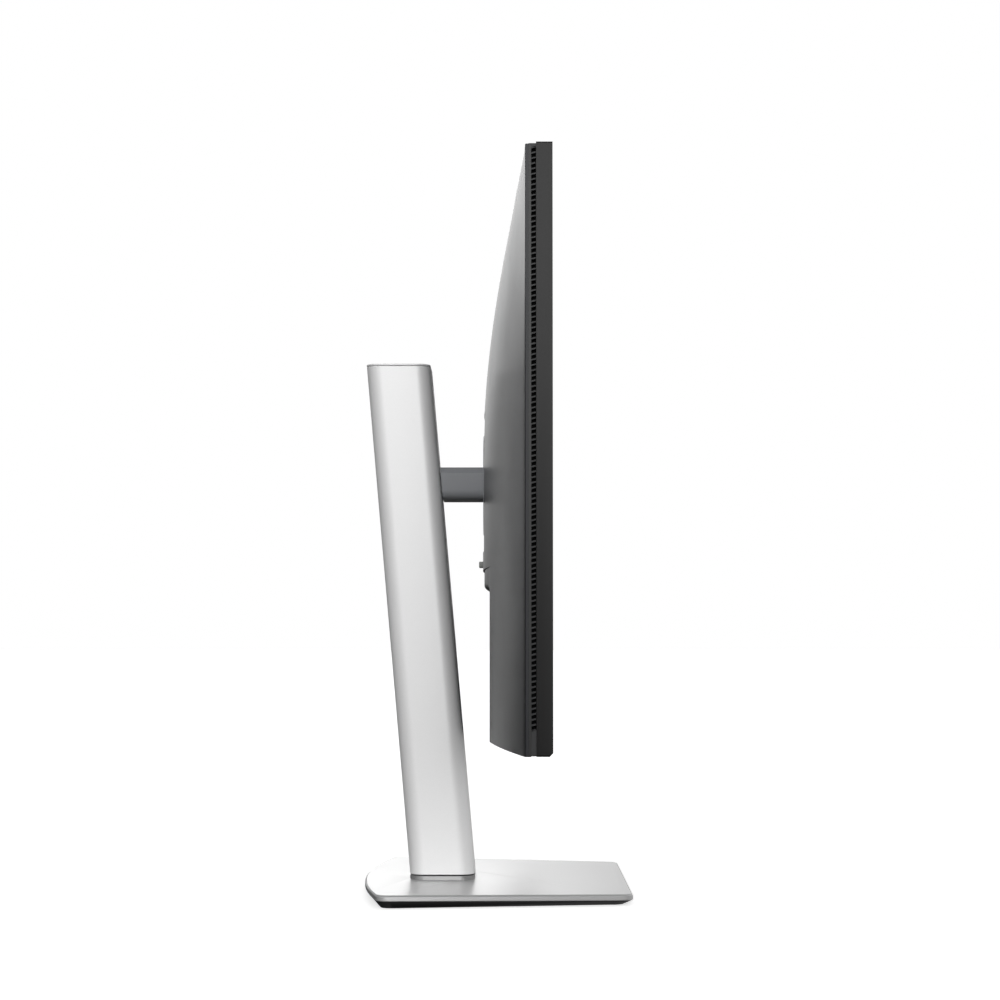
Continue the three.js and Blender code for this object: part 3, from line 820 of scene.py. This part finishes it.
@dataclass
class Column:
    """The leaning silver column with its slot, cable hole, lid and foot."""

    finishes: Finishes
    corner: float = COLUMN_CORNER
    wall: float = 2.5 * MM
    overrun: float = 5 * MM
    corner_steps: int = 14
    slot_half_width: float = 15 * MM
    slot_low: float = 200 * MM
    slot_high: float = 357 * MM
    slot_reach: float = 100 * MM
    hole_half: Span = (17 * MM, 24 * MM)
    hole_height: float = 128 * MM
    hole_run: float = 160 * MM
    hole_back: float = 130 * MM

    def __post_init__(self) -> None:
        """Reads the column's place from the frame."""
        self.low, self.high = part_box("column_shell")
        height = next(joint for joint in frame["joints"] if joint["name"] == "column_height")
        self.lean = height["axis"][1] / height["axis"][2]
        self.half_width = (self.high.x - self.low.x) / 2
        run = self.lean * (self.high.z - self.low.z)
        self.half_depth = (self.high.y - self.low.y - run) / 2
        self.foot_y = self.low.y + self.half_depth

    def axis_at(self, height: float) -> float:
        """Depth of the column's middle line at a height."""
        return self.foot_y + self.lean * (height - self.low.z)

    def leaned(self, place: Vector) -> Vector:
        """Moves a point that was laid out about an upright line into the leaning column."""
        return Vector((place.x, place.y + self.axis_at(place.z), place.z))

    def tube(self, inset: float, low: float, high: float) -> Shape:
        """A solid column between two heights.

        Args:
            inset: How far inside the outer face.
            low: Its lowest height.
            high: Its highest height.

        Returns:
            The shape.
        """
        half = (self.half_width - inset, self.half_depth - inset)
        solid = Shape.slab(half, high - low, self.corner - inset, self.corner_steps)
        return solid.move((0, 0, low)).shape_by(self.leaned)

    def hole(self) -> Shape:
        """The oval that runs through the column for the cables."""
        oval = Shape.slab(self.hole_half, self.hole_run, self.hole_half[0] - 0.5 * MM, self.corner_steps)
        return oval.turn(90, "X").move((0, self.hole_back, self.hole_height))

    def build(self) -> None:
        """Builds and dresses the column."""
        finishes = self.finishes
        sleeve = self.tube(0, self.low.z, self.high.z).to_object("column_sleeve")
        inner = self.tube(self.wall, self.low.z - self.overrun, self.high.z + self.overrun)
        slot_back = self.axis_at(self.slot_high) - self.half_depth / 2
        slot = Shape.block(
            (-self.slot_half_width, -self.slot_reach, self.slot_low),
            (self.slot_half_width, slot_back, self.slot_high),
        )
        carve(sleeve, [inner, slot, self.hole()])
        round_edges(sleeve, 0.5 * MM, 3)
        show(sleeve, Body.COLUMN, finishes.column, ["column_shell"])
        low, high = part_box("column_cap")
        lid = self.tube(0, low.z, high.z).soften(0.35 * MM, 3).to_object("column_lid")
        show(lid, Body.COLUMN, finishes.column, ["column_cap"])
        for node, name, width, steps in (
            ("cable_liner", "cable_grommet", 0.5 * MM, 3), ("swivel_washer", "swivel_collar", 0.2 * MM, 2)
        ):
            bevelled_copy(node, name, Body.COLUMN, finishes.black, width, steps)
        steel = ("guide_rail_left", "guide_rail_right", "foot_flange", "swivel_shaft", "swivel_nut")
        dress(steel, finishes.steel)


# ---- arm and tilt head


@dataclass
class Arm:
    """The short arm, its carriage in the column and the tilting disc at its end."""

    finishes: Finishes
    screw_circle: float = 29.5 * MM
    screw: float = 2.6 * MM
    corner_start: Span = (7.5 * MM, 4.0 * MM)
    corner_stretch: float = 1.31
    lean: float = 0.0885
    lean_from: float = 15 * MM

    def __post_init__(self) -> None:
        """Reads the disc's place from the frame."""
        low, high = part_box("pivot_disc")
        self.centre_z = (low.z + high.z) / 2
        self.disc_back = high.y

    def trimmed(self, place: Vector) -> Vector:
        """Draws the arm's underside up a little and rounds its lower corners more.

        Args:
            place: A point of the arm.

        Returns:
            Its new place.
        """
        below = self.centre_z - place.z
        if below <= 0:
            return place
        old, new = self.corner_start
        if below <= old:
            moved = below * new / old
        else:
            moved = new + (below - old) * self.corner_stretch
        lean = self.lean * (below - moved) if place.y > self.lean_from else 0.0
        return Vector((place.x, place.y + lean, self.centre_z - moved))

    def build(self) -> None:
        """Builds and dresses the arm and the tilt head."""
        finishes = self.finishes
        bevelled_copy(
            "arm_cover", "arm_sleeve", Body.CARRIAGE, finishes.arm, 0.4 * MM, 2, self.trimmed
        )
        bevelled_copy(
            "arm_bracket", "arm_casting", Body.CARRIAGE, finishes.steel, 0.3 * MM, 2, self.trimmed
        )
        dress(["carriage_block"], finishes.black)
        steel = ("lift_spring_roll", "tilt_washer_left", "tilt_washer_right", "tilt_shaft")
        dress((*steel, "tilt_ear_left", "tilt_ear_right", "pivot_retainer"), finishes.steel)
        wells = []
        for number, degrees in enumerate((60, 120, 240, 300), start=1):
            angle = math.radians(degrees)
            across, up = self.screw_circle * math.cos(angle), self.screw_circle * math.sin(angle)
            place = (across, self.disc_back, self.centre_z + up)
            wells.append(screw_well(self.screw, place))
            show(cross_screw(self.screw, place, f"disc_screw_{number}"), Body.TILT, finishes.steel)
        face = Shape.copy_of("pivot_disc").to_object("pivot_face")
        carve(face, wells)
        round_edges(face, 0.5 * MM, 3)
        show(face, Body.TILT, finishes.arm, ["pivot_disc"])


def screw_well(radius: float, place: Sequence[float]) -> Shape:
    """Cutter for the round well of a screw head, given the head's radius and the middle of the mouth."""
    depth = radius * (HEAD_HEIGHT + HEAD_SINK)
    return Shape.disc(radius * 1.25, depth * 2, 40).turn(-90, "X").move((0, -depth, 0)).move(place)


def cross_screw(radius: float, place: Sequence[float], name: str) -> Piece:
    """A low round screw head with a cross recess, facing backwards.

    Args:
        radius: The head's radius.
        place: The middle of its face.
        name: The piece's name.

    Returns:
        The screw head.
    """
    height = radius * HEAD_HEIGHT
    place = Vector(place) - Vector((0, radius * HEAD_SINK, 0))
    head = Shape.disc(radius, height, 32).soften(radius * 0.18, 3)
    head.turn(-90, "X").move((0, -height, 0)).move(place)
    piece = head.to_object(name)
    arm, slot, depth = radius * 0.6, radius * 0.14, height * 2
    cross = Shape.block((-arm, -depth, -slot), (arm, depth, slot))
    post = Shape.block((-slot, -depth, -arm), (slot, depth, arm))
    lift = place + Vector((0, height * 1.45, 0))
    carve(piece, [cross.move(lift), post.move(lift)])
    return piece


# ---- display housing


@dataclass
class Housing:
    """The display's outside: front frame, vent band and crowned back."""

    finishes: Finishes
    edge_round: float = 0.5 * MM
    crown_rise: float = 26.6 * MM
    crown_break: float = 296.5 * MM
    crown_left_at_top: float = 0.225
    crown_narrowing: float = 0.61
    lower_flat: float = 3.8 * MM
    lip_top: float = 223 * MM
    lip_bottom: float = 209.5 * MM
    lip_sink: float = 1.0 * MM
    lip_round: float = 3.4 * MM
    wall: float = 2.2 * MM
    rim_depth: float = 2.7 * MM
    chin_drop: float = 0.7 * MM
    flange_depth: float = 1.5 * MM
    flange_stand: float = 0.15 * MM
    flange_width: float = 1.2 * MM
    floor_inset: Span = (1.6 * MM, 2.6 * MM)
    floor_overlap: float = 0.2 * MM
    ring_corners: Span = (1.0 * MM, 0.6 * MM)
    rib_height: float = 1.7 * MM
    rib_inset: float = 1.8 * MM
    rib_overlap: float = 0.3 * MM
    rib_round: float = 0.25 * MM
    slots: int = 109
    slot_height: float = 1.85 * MM
    slot_rise: float = 0.75 * MM
    first_slot: float = 126.1 * MM
    last_slot: float = 461.5 * MM
    top_vents: float = 286 * MM
    grid: tuple[int, int] = (84, 56)
    edge_rings: tuple[float, ...] = (0.04, 0.15, 0.35, 0.65, 1.0)
    lip_rings: tuple[float, ...] = (0, 0.02, 0.08, 0.2, 0.4, 0.7, 1.0)
    crease: float = 28
    cutter_length: float = 40 * MM
    cutter_back: float = 25 * MM
    seam_half_width: float = 128 * MM
    seam_height: float = 1.2 * MM
    seam_sink: float = 1.6 * MM

    def __post_init__(self) -> None:
        """Reads the housing's outline from the frame."""
        self.frame_low, self.frame_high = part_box("front_frame")
        self.band_low, self.band_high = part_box("vent_band")
        self.cover_low, self.cover_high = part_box("rear_cover")
        self.band_low.z -= self.chin_drop
        self.cover_low.z -= self.chin_drop
        self.slot_pitch = (self.last_slot - self.first_slot) / (self.slots - 1)
        self.rib_span = (self.band_low.y - self.rib_overlap, self.band_high.y + self.rib_overlap)

    def edge_fall(self, distance: float) -> float:
        """Quarter-round fall towards an edge, as a share of the full rise."""
        inside = min(1.0, max(0.0, distance / self.edge_round))
        return math.sqrt(1 - (1 - inside) ** 2)

    def dome(self, x: float, z: float) -> float:
        """Depth of the crowned back, before the lower part is cut flat.

        Args:
            x: Place across the screen.
            z: Height.

        Returns:
            The depth along Y.
        """
        span, top = self.cover_high.x, self.cover_high.z
        edge = self.edge_fall(span - abs(x)) * self.edge_fall(top - z)
        fall = (max(0.0, z - self.crown_break) / (self.frame_high.z - self.crown_break)) ** 2
        left = 1 - (1 - self.crown_left_at_top) * fall
        sideways = max(0.0, 1 - (x / span) ** 2) ** (1 + self.crown_narrowing * fall)
        rim = self.cover_low.y + self.rim_depth
        return rim + self.edge_round * edge + self.crown_rise * left * sideways

    def cover_depth(self, x: float, z: float) -> float:
        """Depth of the back's outer face with the lip and the flat lower part.

        Args:
            x: Place across the screen.
            z: Height.

        Returns:
            The depth along Y.
        """
        dome = self.dome(x, z)
        if z >= self.lip_top:
            return dome
        flat = min(dome, self.lower_flat)
        lip = max(flat, dome - self.lip_sink)
        if z >= self.lip_bottom + self.lip_round:
            return lip
        if z <= self.lip_bottom:
            return flat
        fall = 1 - (z - self.lip_bottom) / self.lip_round
        return flat + (lip - flat) * math.sqrt(max(0.0, 1 - fall * fall))

    def back_shell(self) -> None:
        """Builds the crowned back with its openings."""
        low, high = self.cover_low, self.cover_high
        sheet = Shape()
        bmesh.ops.create_grid(sheet.mesh, x_segments=self.grid[0], y_segments=self.grid[1], size=1)
        middle, half = (low.z + high.z) / 2, (high.z - low.z) / 2
        sheet.shape_by(lambda place: Vector((place.x * high.x, 0, middle + place.y * half)))
        rounds = [self.edge_round * share for share in self.edge_rings]
        across = [sign * (high.x - inset) for inset in rounds for sign in (-1, 1)]
        fan = [self.lip_bottom + self.lip_round * share for share in self.lip_rings]
        upward = [high.z - inset for inset in rounds] + fan + [self.lip_top, self.lip_top - 0.25 * MM]
        upright = [((x, 0, 0), (1, 0, 0)) for x in across]
        for place, normal in upright + [((0, 0, z), (0, 0, 1)) for z in upward]:
            geometry = [*sheet.mesh.verts, *sheet.mesh.edges, *sheet.mesh.faces]
            bmesh.ops.bisect_plane(sheet.mesh, geom=geometry, plane_co=place, plane_no=normal, dist=1e-6)
        sheet.shape_by(lambda place: Vector((place.x, self.cover_depth(place.x, place.z), place.z)))
        border = [edge for edge in sheet.mesh.edges if edge.is_boundary]
        rim = bmesh.ops.extrude_edge_only(sheet.mesh, edges=border)
        for vert in rim["geom"]:
            if isinstance(vert, bmesh.types.BMVert):
                vert.co.y = low.y
        bmesh.ops.recalc_face_normals(sheet.mesh, faces=sheet.mesh.faces)
        if sum(face.normal.y * face.calc_area() for face in sheet.mesh.faces) < 0:
            bmesh.ops.reverse_faces(sheet.mesh, faces=sheet.mesh.faces)
        bmesh.ops.solidify(sheet.mesh, geom=list(sheet.mesh.faces), thickness=self.wall)
        shell = sheet.to_object("back_shell")
        carve(shell, self.openings())
        show(shell, Body.DISPLAY, self.finishes.cover, ["rear_cover"], self.crease)

    def openings(self) -> list[Shape]:
        """Cuts for the mount plate, the release tab, the port bay and the seam of the lip.

        Returns:
            The cutters.
        """
        length, cutters = self.cutter_length, []
        for node, gap, headroom, radius in (
            ("quick_release_plate", 0.35 * MM, 0.35 * MM, 4.3 * MM),
            ("release_button", 0.35 * MM, 3.6 * MM, 1.2 * MM),
            ("port_bay", 0.1 * MM, 1.3 * MM, 1.0 * MM),
        ):
            low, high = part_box(node)
            bottom, top = low.z - gap, high.z + headroom
            window = Shape.slab((high.x + gap, (top - bottom) / 2), length, radius, 6)
            cutters.append(window.turn(90, "X").move((0, self.cutter_back, (bottom + top) / 2)))
        depth, half = self.dome(0, self.lip_top) - self.seam_sink, self.seam_half_width
        seam_low = (-half, depth, self.lip_top - self.seam_height)
        return [*cutters, Shape.block(seam_low, (half, depth + length, self.lip_top))]

    def ring(self, name: str, inset: Span, depth: Span) -> Piece:
        """A frame-shaped ring of the vent band.

        Args:
            name: The piece's name.
            inset: How far its outer and inner faces lie inside the band's outline.
            depth: Its front and back along Y.

        Returns:
            The ring.
        """
        low, high = self.band_low, self.band_high
        middle, half = (low.z + high.z) / 2, (high.x, (high.z - low.z) / 2)
        outer, inner = ((half[0] - by, half[1] - by) for by in inset)
        solid = Shape.slab(outer, depth[1] - depth[0], self.ring_corners[0], 4)
        piece = solid.turn(90, "X").move((0, depth[1], middle)).to_object(name)
        through = 0.2
        hole = Shape.slab(inner, through, self.ring_corners[1], 3).move((0, 0, -through / 2))
        carve(piece, [hole.turn(90, "X").move((0, 0, middle))])
        return piece

    def bar(self, x: Span, z: Span) -> Shape:
        """A block that spans the vent band's depth."""
        front, back = self.rib_span
        return Shape.block((x[0], front, z[0]), (x[1], back, z[1]))

    def slanted(self, place: Vector) -> Vector:
        """Moves a point of a rib so that the rib's front end stands higher."""
        front, back = self.rib_span
        rise = self.slot_rise * (place.y - (front + back) / 2) / (back - front)
        return Vector((place.x, place.y, place.z - rise))

    def vent_band(self) -> None:
        """Builds the dark band with its slanted slots on both sides and along the top, over a near-black
        floor that is painted shade for the inside of the slots.
        """
        low, high, finishes = self.band_low, self.band_high, self.finishes
        overlap = self.floor_overlap
        # The vent floor is painted shade: near-black so that the slots read as deep openings
        floor = self.ring("vent_floor", self.floor_inset, (low.y - overlap, high.y + overlap))
        show(floor, Body.DISPLAY, finishes.dark, ["vent_band"])
        insets = (-self.flange_stand, self.flange_width)
        flange = self.ring("rim_flange", insets, (high.y, high.y + self.flange_depth))
        show(flange, Body.DISPLAY, finishes.flange)
        ribs, pitch = Shape(), self.slot_pitch
        rib = (pitch - self.slot_height) / 2
        for side in (-1, 1):
            x = tuple(sorted((side * high.x, side * (high.x - self.rib_height))))
            for index in range(self.slots + 1):
                z = self.first_slot + (index - 0.5) * pitch
                ribs.add(self.bar(x, (z - rib, z + rib)).soften(self.rib_round, 1).shape_by(self.slanted))
            for z in ((low.z, self.first_slot - pitch / 2), (self.last_slot + pitch / 2, high.z)):
                ribs.add(self.bar(x, z))
        inner = high.x - self.rib_inset
        ribs.add(self.bar((-inner, inner), (low.z, low.z + self.rib_height)))
        across = round(2 * self.top_vents / pitch)
        top = (high.z - self.rib_height, high.z)
        for index in range(across + 1):
            x = (index - across / 2) * pitch
            ribs.add(self.bar((x - rib, x + rib), top).soften(self.rib_round, 1))
        edge = (across / 2) * pitch + rib
        for x in ((-inner, -edge), (edge, inner)):
            ribs.add(self.bar(x, top))
        show(ribs.to_object("vent_ribs"), Body.DISPLAY, finishes.vent)

    def build(self) -> None:
        """Builds and dresses the housing."""
        finishes, body = self.finishes, Body.DISPLAY
        bevelled_copy("front_frame", "front_surround", body, finishes.front, 0.35 * MM)
        self.back_shell()
        self.vent_band()
        bevelled_copy("port_bay", "bay_lining", body, finishes.cover, 0.3 * MM)
        bevelled_copy("io_bracket", "socket_plate", body, finishes.sheet, 0.1 * MM)


@dataclass
class Mount:
    """The quick-release plate in the back and the tab that frees it."""

    finishes: Finishes
    screw_inset: float = 8 * MM
    screw: float = 3.2 * MM
    sink: float = 1.1 * MM
    groove_pitch: float = 2.2 * MM
    groove_half: float = 0.35 * MM
    groove_depth: float = 0.5 * MM

    def build(self) -> None:
        """Builds and dresses the mount."""
        finishes = self.finishes
        low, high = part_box("quick_release_plate")
        corners = [
            (x, high.y - self.sink, z)
            for x in (low.x + self.screw_inset, high.x - self.screw_inset)
            for z in (low.z + self.screw_inset, high.z - self.screw_inset)
        ]
        middle = (low.y + high.y) / 2
        plate = Shape.copy_of("quick_release_plate").shape_by(
            lambda place: place - Vector((0, self.sink, 0)) if place.y > middle else place
        ).to_object("release_plate")
        carve(plate, [screw_well(self.screw, place) for place in corners])
        round_edges(plate, 0.5 * MM, 3)
        show(plate, Body.DISPLAY, finishes.cover, ["quick_release_plate"])
        for number, place in enumerate(corners, start=1):
            screw = cross_screw(self.screw, place, f"plate_screw_{number}")
            show(screw, Body.DISPLAY, finishes.steel)
        dress(["vesa_bracket"], finishes.sheet)
        self.tab()

    def tab(self) -> None:
        """Builds the ribbed release tab."""
        low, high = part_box("release_button")
        piece = Shape.block(low, high).soften(0.6 * MM, 3).to_object("release_tab")
        half, bottom = self.groove_half, high.y - self.groove_depth
        grooves = [
            Shape.block((x - half, bottom, low.z - MM), (x + half, high.y + MM, high.z + MM))
            for x in (step * self.groove_pitch for step in range(-3, 4))
        ]
        carve(piece, grooves)
        show(piece, "release_button", self.finishes.tab, ["release_button"])


# ---- screen, buttons and sockets


@dataclass
class Screen:
    """The panel behind its border, with the layers behind it."""

    finishes: Finishes
    side_border: float = 6.2 * MM
    bottom_border: float = 5 * MM

    def build(self) -> None:
        """Builds and dresses the panel."""
        low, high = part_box("lcd_panel")
        right, top = high.x - self.side_border, high.z - self.side_border
        glass = PanelGlass("panel_glass", right, low.z + self.bottom_border, top).material()
        bevelled_copy("lcd_panel", "panel_face", Body.DISPLAY, glass, 0.15 * MM)
        dress(["backlight_unit"], self.finishes.diffuser)
        dress(["chassis_plate"], self.finishes.sheet)


@dataclass
class Controls:
    """The buttons under the chin and the status lamp."""

    finishes: Finishes

    def build(self) -> None:
        """Builds and dresses the controls."""
        finishes = self.finishes
        for name in (*(f"menu_button_{number}" for number in range(1, 5)), "power_button"):
            bevelled_copy(name, f"{name}_cap", name, finishes.button, 0.3 * MM)
        bevelled_copy("status_lamp", "lamp_lens", Body.DISPLAY, finishes.lens, 0.2 * MM)


@dataclass
class Sockets:
    """The power inlet and the signal sockets, with their contacts."""

    finishes: Finishes
    signal: tuple[str, ...] = ("hdmi_socket", "displayport_socket_1", "displayport_socket_2")
    usb: tuple[str, ...] = ("usb_socket_1", "usb_socket_2")
    mouth: float = 1.4 * MM

    def tongue(self, node: str, share: Span, thickness: float, contacts: int) -> None:
        """Adds a socket's plastic tongue and its row of contacts.

        Args:
            node: The socket.
            share: How much of the mouth's width it takes, and where it sits across the depth.
            thickness: The tongue's thickness.
            contacts: How many contacts lie on it.
        """
        low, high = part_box(node)
        middle = (low + high) / 2
        half = (high.x - low.x) / 2 * share[0]
        y = low.y + (high.y - low.y) * share[1]
        face, back, top = y - thickness / 2, y + thickness / 2, high.z - self.mouth
        bar = Shape.block((middle.x - half, face, low.z + 2 * MM), (middle.x + half, back, top))
        piece = bar.soften(0.15 * MM, 2).to_object(f"{node}_tongue")
        show(piece, Body.DISPLAY, self.finishes.black)
        pitch = 2 * half / (contacts + 1)
        strips = Shape()
        for index in range(contacts):
            x = middle.x - half + pitch * (index + 1)
            strip_low = (x - pitch * 0.3, face - 0.12 * MM, low.z + 2.6 * MM)
            strips.add(Shape.block(strip_low, (x + pitch * 0.3, face + 0.02 * MM, top)))
        piece = strips.to_object(f"{node}_contacts")
        show(piece, Body.DISPLAY, self.finishes.gold)

    def inlet_pins(self) -> None:
        """Adds the three flat pins of the power inlet."""
        low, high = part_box("power_inlet")
        middle = (low + high) / 2
        pins = Shape()
        for x, y in ((-7 * MM, -1.8 * MM), (7 * MM, -1.8 * MM), (0, 2.2 * MM)):
            pin = Shape.block((-2 * MM, -MM, low.z + 2.5 * MM), (2 * MM, MM, high.z - self.mouth))
            pins.add(pin.soften(0.4 * MM, 2).move((middle.x + x, middle.y + y, 0)))
        show(pins.to_object("power_inlet_pins"), Body.DISPLAY, self.finishes.nickel)

    def build(self) -> None:
        """Builds and dresses the sockets."""
        finishes, body = self.finishes, Body.DISPLAY
        bevelled_copy("power_inlet", "inlet_body", body, finishes.black, 0.3 * MM)
        for node in (*self.signal, "usb_upstream_socket", *self.usb):
            bevelled_copy(node, f"{node}_shell", body, finishes.nickel, 0.15 * MM)
        self.inlet_pins()
        for node in self.signal:
            self.tongue(node, (0.72, 0.5), 1.0 * MM, 10)
        for node in self.usb:
            self.tongue(node, (0.8, 0.36), 1.6 * MM, 4)
        self.tongue("usb_upstream_socket", (0.55, 0.5), 2.6 * MM, 2)
        dress(["main_board", "power_board"], finishes.board)


# ---- studio


def facing(place: Triple, aim: Triple) -> Euler:
    """The rotation that points -Z from one place to another."""
    return (Vector(aim) - Vector(place)).to_track_quat("-Z", "Y").to_euler()


@dataclass(frozen=True)
class Lamp:
    """A soft square light: where it hangs, what it faces, its side and its power."""

    name: str
    place: Triple
    aim: Triple
    size: float
    watts: float

    def hang(self, *lit: str) -> None:
        """Hangs the light.

        Args:
            lit: The only pieces it falls on; none means all.
        """
        data = bpy.data.lights.new(self.name, "AREA")
        data.size = self.size
        data.energy = self.watts
        lamp = bpy.data.objects.new(self.name, data)
        lamp.location = self.place
        lamp.rotation_euler = facing(self.place, self.aim)
        bpy.context.scene.collection.objects.link(lamp)
        if lit:
            receivers = bpy.data.collections.new(f"{self.name}_lit")
            for name in lit:
                receivers.objects.link(bpy.data.objects[name])
            lamp.light_linking.receiver_collection = receivers


@dataclass
class Studio:
    """Pale floor, white surroundings with soft bright walls, and the camera.

    The walls' ramps run over the height of a direction, and near_aside and back_fading run across it.
    """

    lens: float = 82.08
    eye: Triple = (-1.62, -0.003, 0.1852)
    aim: Triple = (0.0, -0.003, 0.27387)
    floor_size: float = 30.0
    floor_glow: float = 0.62
    wall_near: Stops = (
        (0.0, 0.0), (0.36, 0.02), (0.4, 0.05), (0.44, 0.05), (0.465, 0.02), (0.5, 0.09), (0.54, 0.35),
        (0.6, 0.92), (0.65, 0.85), (0.75, 0.6), (0.82, 0.3), (0.9, 0.06), (1.0, 0.01),
    )
    near_aside: Stops = ((0.15, 0.8), (0.4, 0.0), (0.65, 0.0), (0.92, 0.75))
    wall_back: Stops = (
        (0.0, 0.02), (0.42, 0.01), (0.45, 0.01), (0.477, 0.025), (0.4945, 0.12), (0.518, 0.4),
        (0.549, 0.72), (0.6, 1.0), (0.75, 1.0), (0.9, 0.4), (1.0, 0.1),
    )
    wall_front: Stops = ((0.0, 0.3), (0.45, 0.7), (0.6, 1.0), (0.75, 1.0), (1.0, 0.1))
    back_fading: Stops = ((0.0, 0.0), (0.1, 0.05), (0.2, 0.36), (0.34, 0.79), (0.5, 0.92), (1.0, 0.94))
    to_front: Stops = ((0.47, 1.0), (0.5, 0.0))
    to_far: Stops = ((0.3, 0.0), (0.55, 1.0))
    near_power: float = 3.9
    far_power: float = 2.55
    front_dimming: float = 0.68
    soft_box: Lamp = Lamp("soft_box", (-1.3, 0.8, 1.1), (0.0, 0.0, 0.25), 0.9, 1.0)
    column_fill: Lamp = Lamp("column_fill", (-1.7, -0.08, 0.55), (0.0, 0.03, 0.24), 0.8, 4.4)
    edge_fill: Lamp = Lamp("edge_fill", (-1.7, 0.0, 0.06), (0.0, 0.0, 0.0), 0.4, 3.0)

    def floor(self) -> None:
        """Lays the pale floor, which casts no light back on the monitor."""
        sheet = Shape()
        bmesh.ops.create_grid(sheet.mesh, x_segments=1, y_segments=1, size=self.floor_size / 2)
        piece = sheet.to_object("studio_floor")
        graph = Graph("studio_floor")
        mottle = graph.noise(0.6, 2)
        graph.set(
            Base_Color=graph.blend(mottle, (0.9, 0.9, 0.9), (0.93, 0.93, 0.93)),
            Roughness=0.9,
            Specular_IOR_Level=0.1,
            Emission_Color=WHITE,
            Emission_Strength=self.floor_glow,
        )
        piece.data.materials.append(graph.material)
        piece.visible_diffuse = False
        piece.visible_glossy = False

    def world(self) -> None:
        """Surrounds the monitor with walls that are bright above the horizon and dim at the sides."""
        world = bpy.data.worlds.new("studio")
        bpy.context.scene.world = world
        world.use_nodes = True
        graph = NodeGraph(world.node_tree)
        x, y, z = graph.split(graph.node("ShaderNodeTexCoord").outputs["Generated"])
        height = z * 0.5 + 0.5
        near = graph.ramp(height, self.wall_near) * self.near_power
        back = graph.ramp(height, self.wall_back) * (1 - graph.ramp(y, self.back_fading))
        front = graph.ramp(height, self.wall_front) * (1 - self.front_dimming)
        to_front = graph.ramp(y * 0.5 + 0.5, self.to_front)
        far = (front * to_front + back * (1 - to_front)) * self.far_power
        share = graph.ramp(x * 0.5 + 0.5, self.to_far)
        aside = graph.ramp(y * 0.5 + 0.5, self.near_aside)
        light = near * (1 - aside) * (1 - share) + far * share
        seen = graph.node("ShaderNodeLightPath").outputs["Is Camera Ray"]
        strength = light * (1 - Term(graph, seen)) + Term(graph, seen)
        background = graph.node("ShaderNodeBackground", {}, {0: WHITE, 1: strength})
        graph.node("ShaderNodeOutputWorld", {}, {0: background.outputs[0]})

    def silver_fills(self) -> None:
        """Hangs two soft lights that fall on the silver stand alone."""
        self.column_fill.hang("column_sleeve", "column_lid")
        self.edge_fill.hang("base_top")

    def camera(self) -> None:
        """Sets up the camera at the left side of the monitor."""
        data = bpy.data.cameras.new("camera")
        data.lens = self.lens
        data.sensor_width = 36.0
        data.clip_start = 0.05
        made = bpy.data.objects.new("camera", data)
        made.location = self.eye
        made.rotation_euler = facing(self.eye, self.aim)
        bpy.context.scene.collection.objects.link(made)
        bpy.context.scene.camera = made

    def build(self) -> None:
        """Builds the studio."""
        self.camera()
        self.floor()
        self.world()
        self.soft_box.hang()
        bpy.context.scene.view_settings.view_transform = "Standard"
        LOG.info("studio: camera, floor and lights are set")


def main() -> None:
    """Builds every sub-assembly in order and reports it."""
    logging.basicConfig(level=logging.INFO, format="%(name)s: %(message)s")
    studio = Studio()
    studio.build()
    finishes = Finishes()
    for assembly in (
        Base(finishes), Column(finishes), Arm(finishes), Housing(finishes),
        Mount(finishes), Screen(finishes), Controls(finishes), Sockets(finishes),
    ):
        LOG.info("building %s", type(assembly).__name__)
        assembly.build()
    studio.silver_fills()


if __name__ == "__main__":
    main()
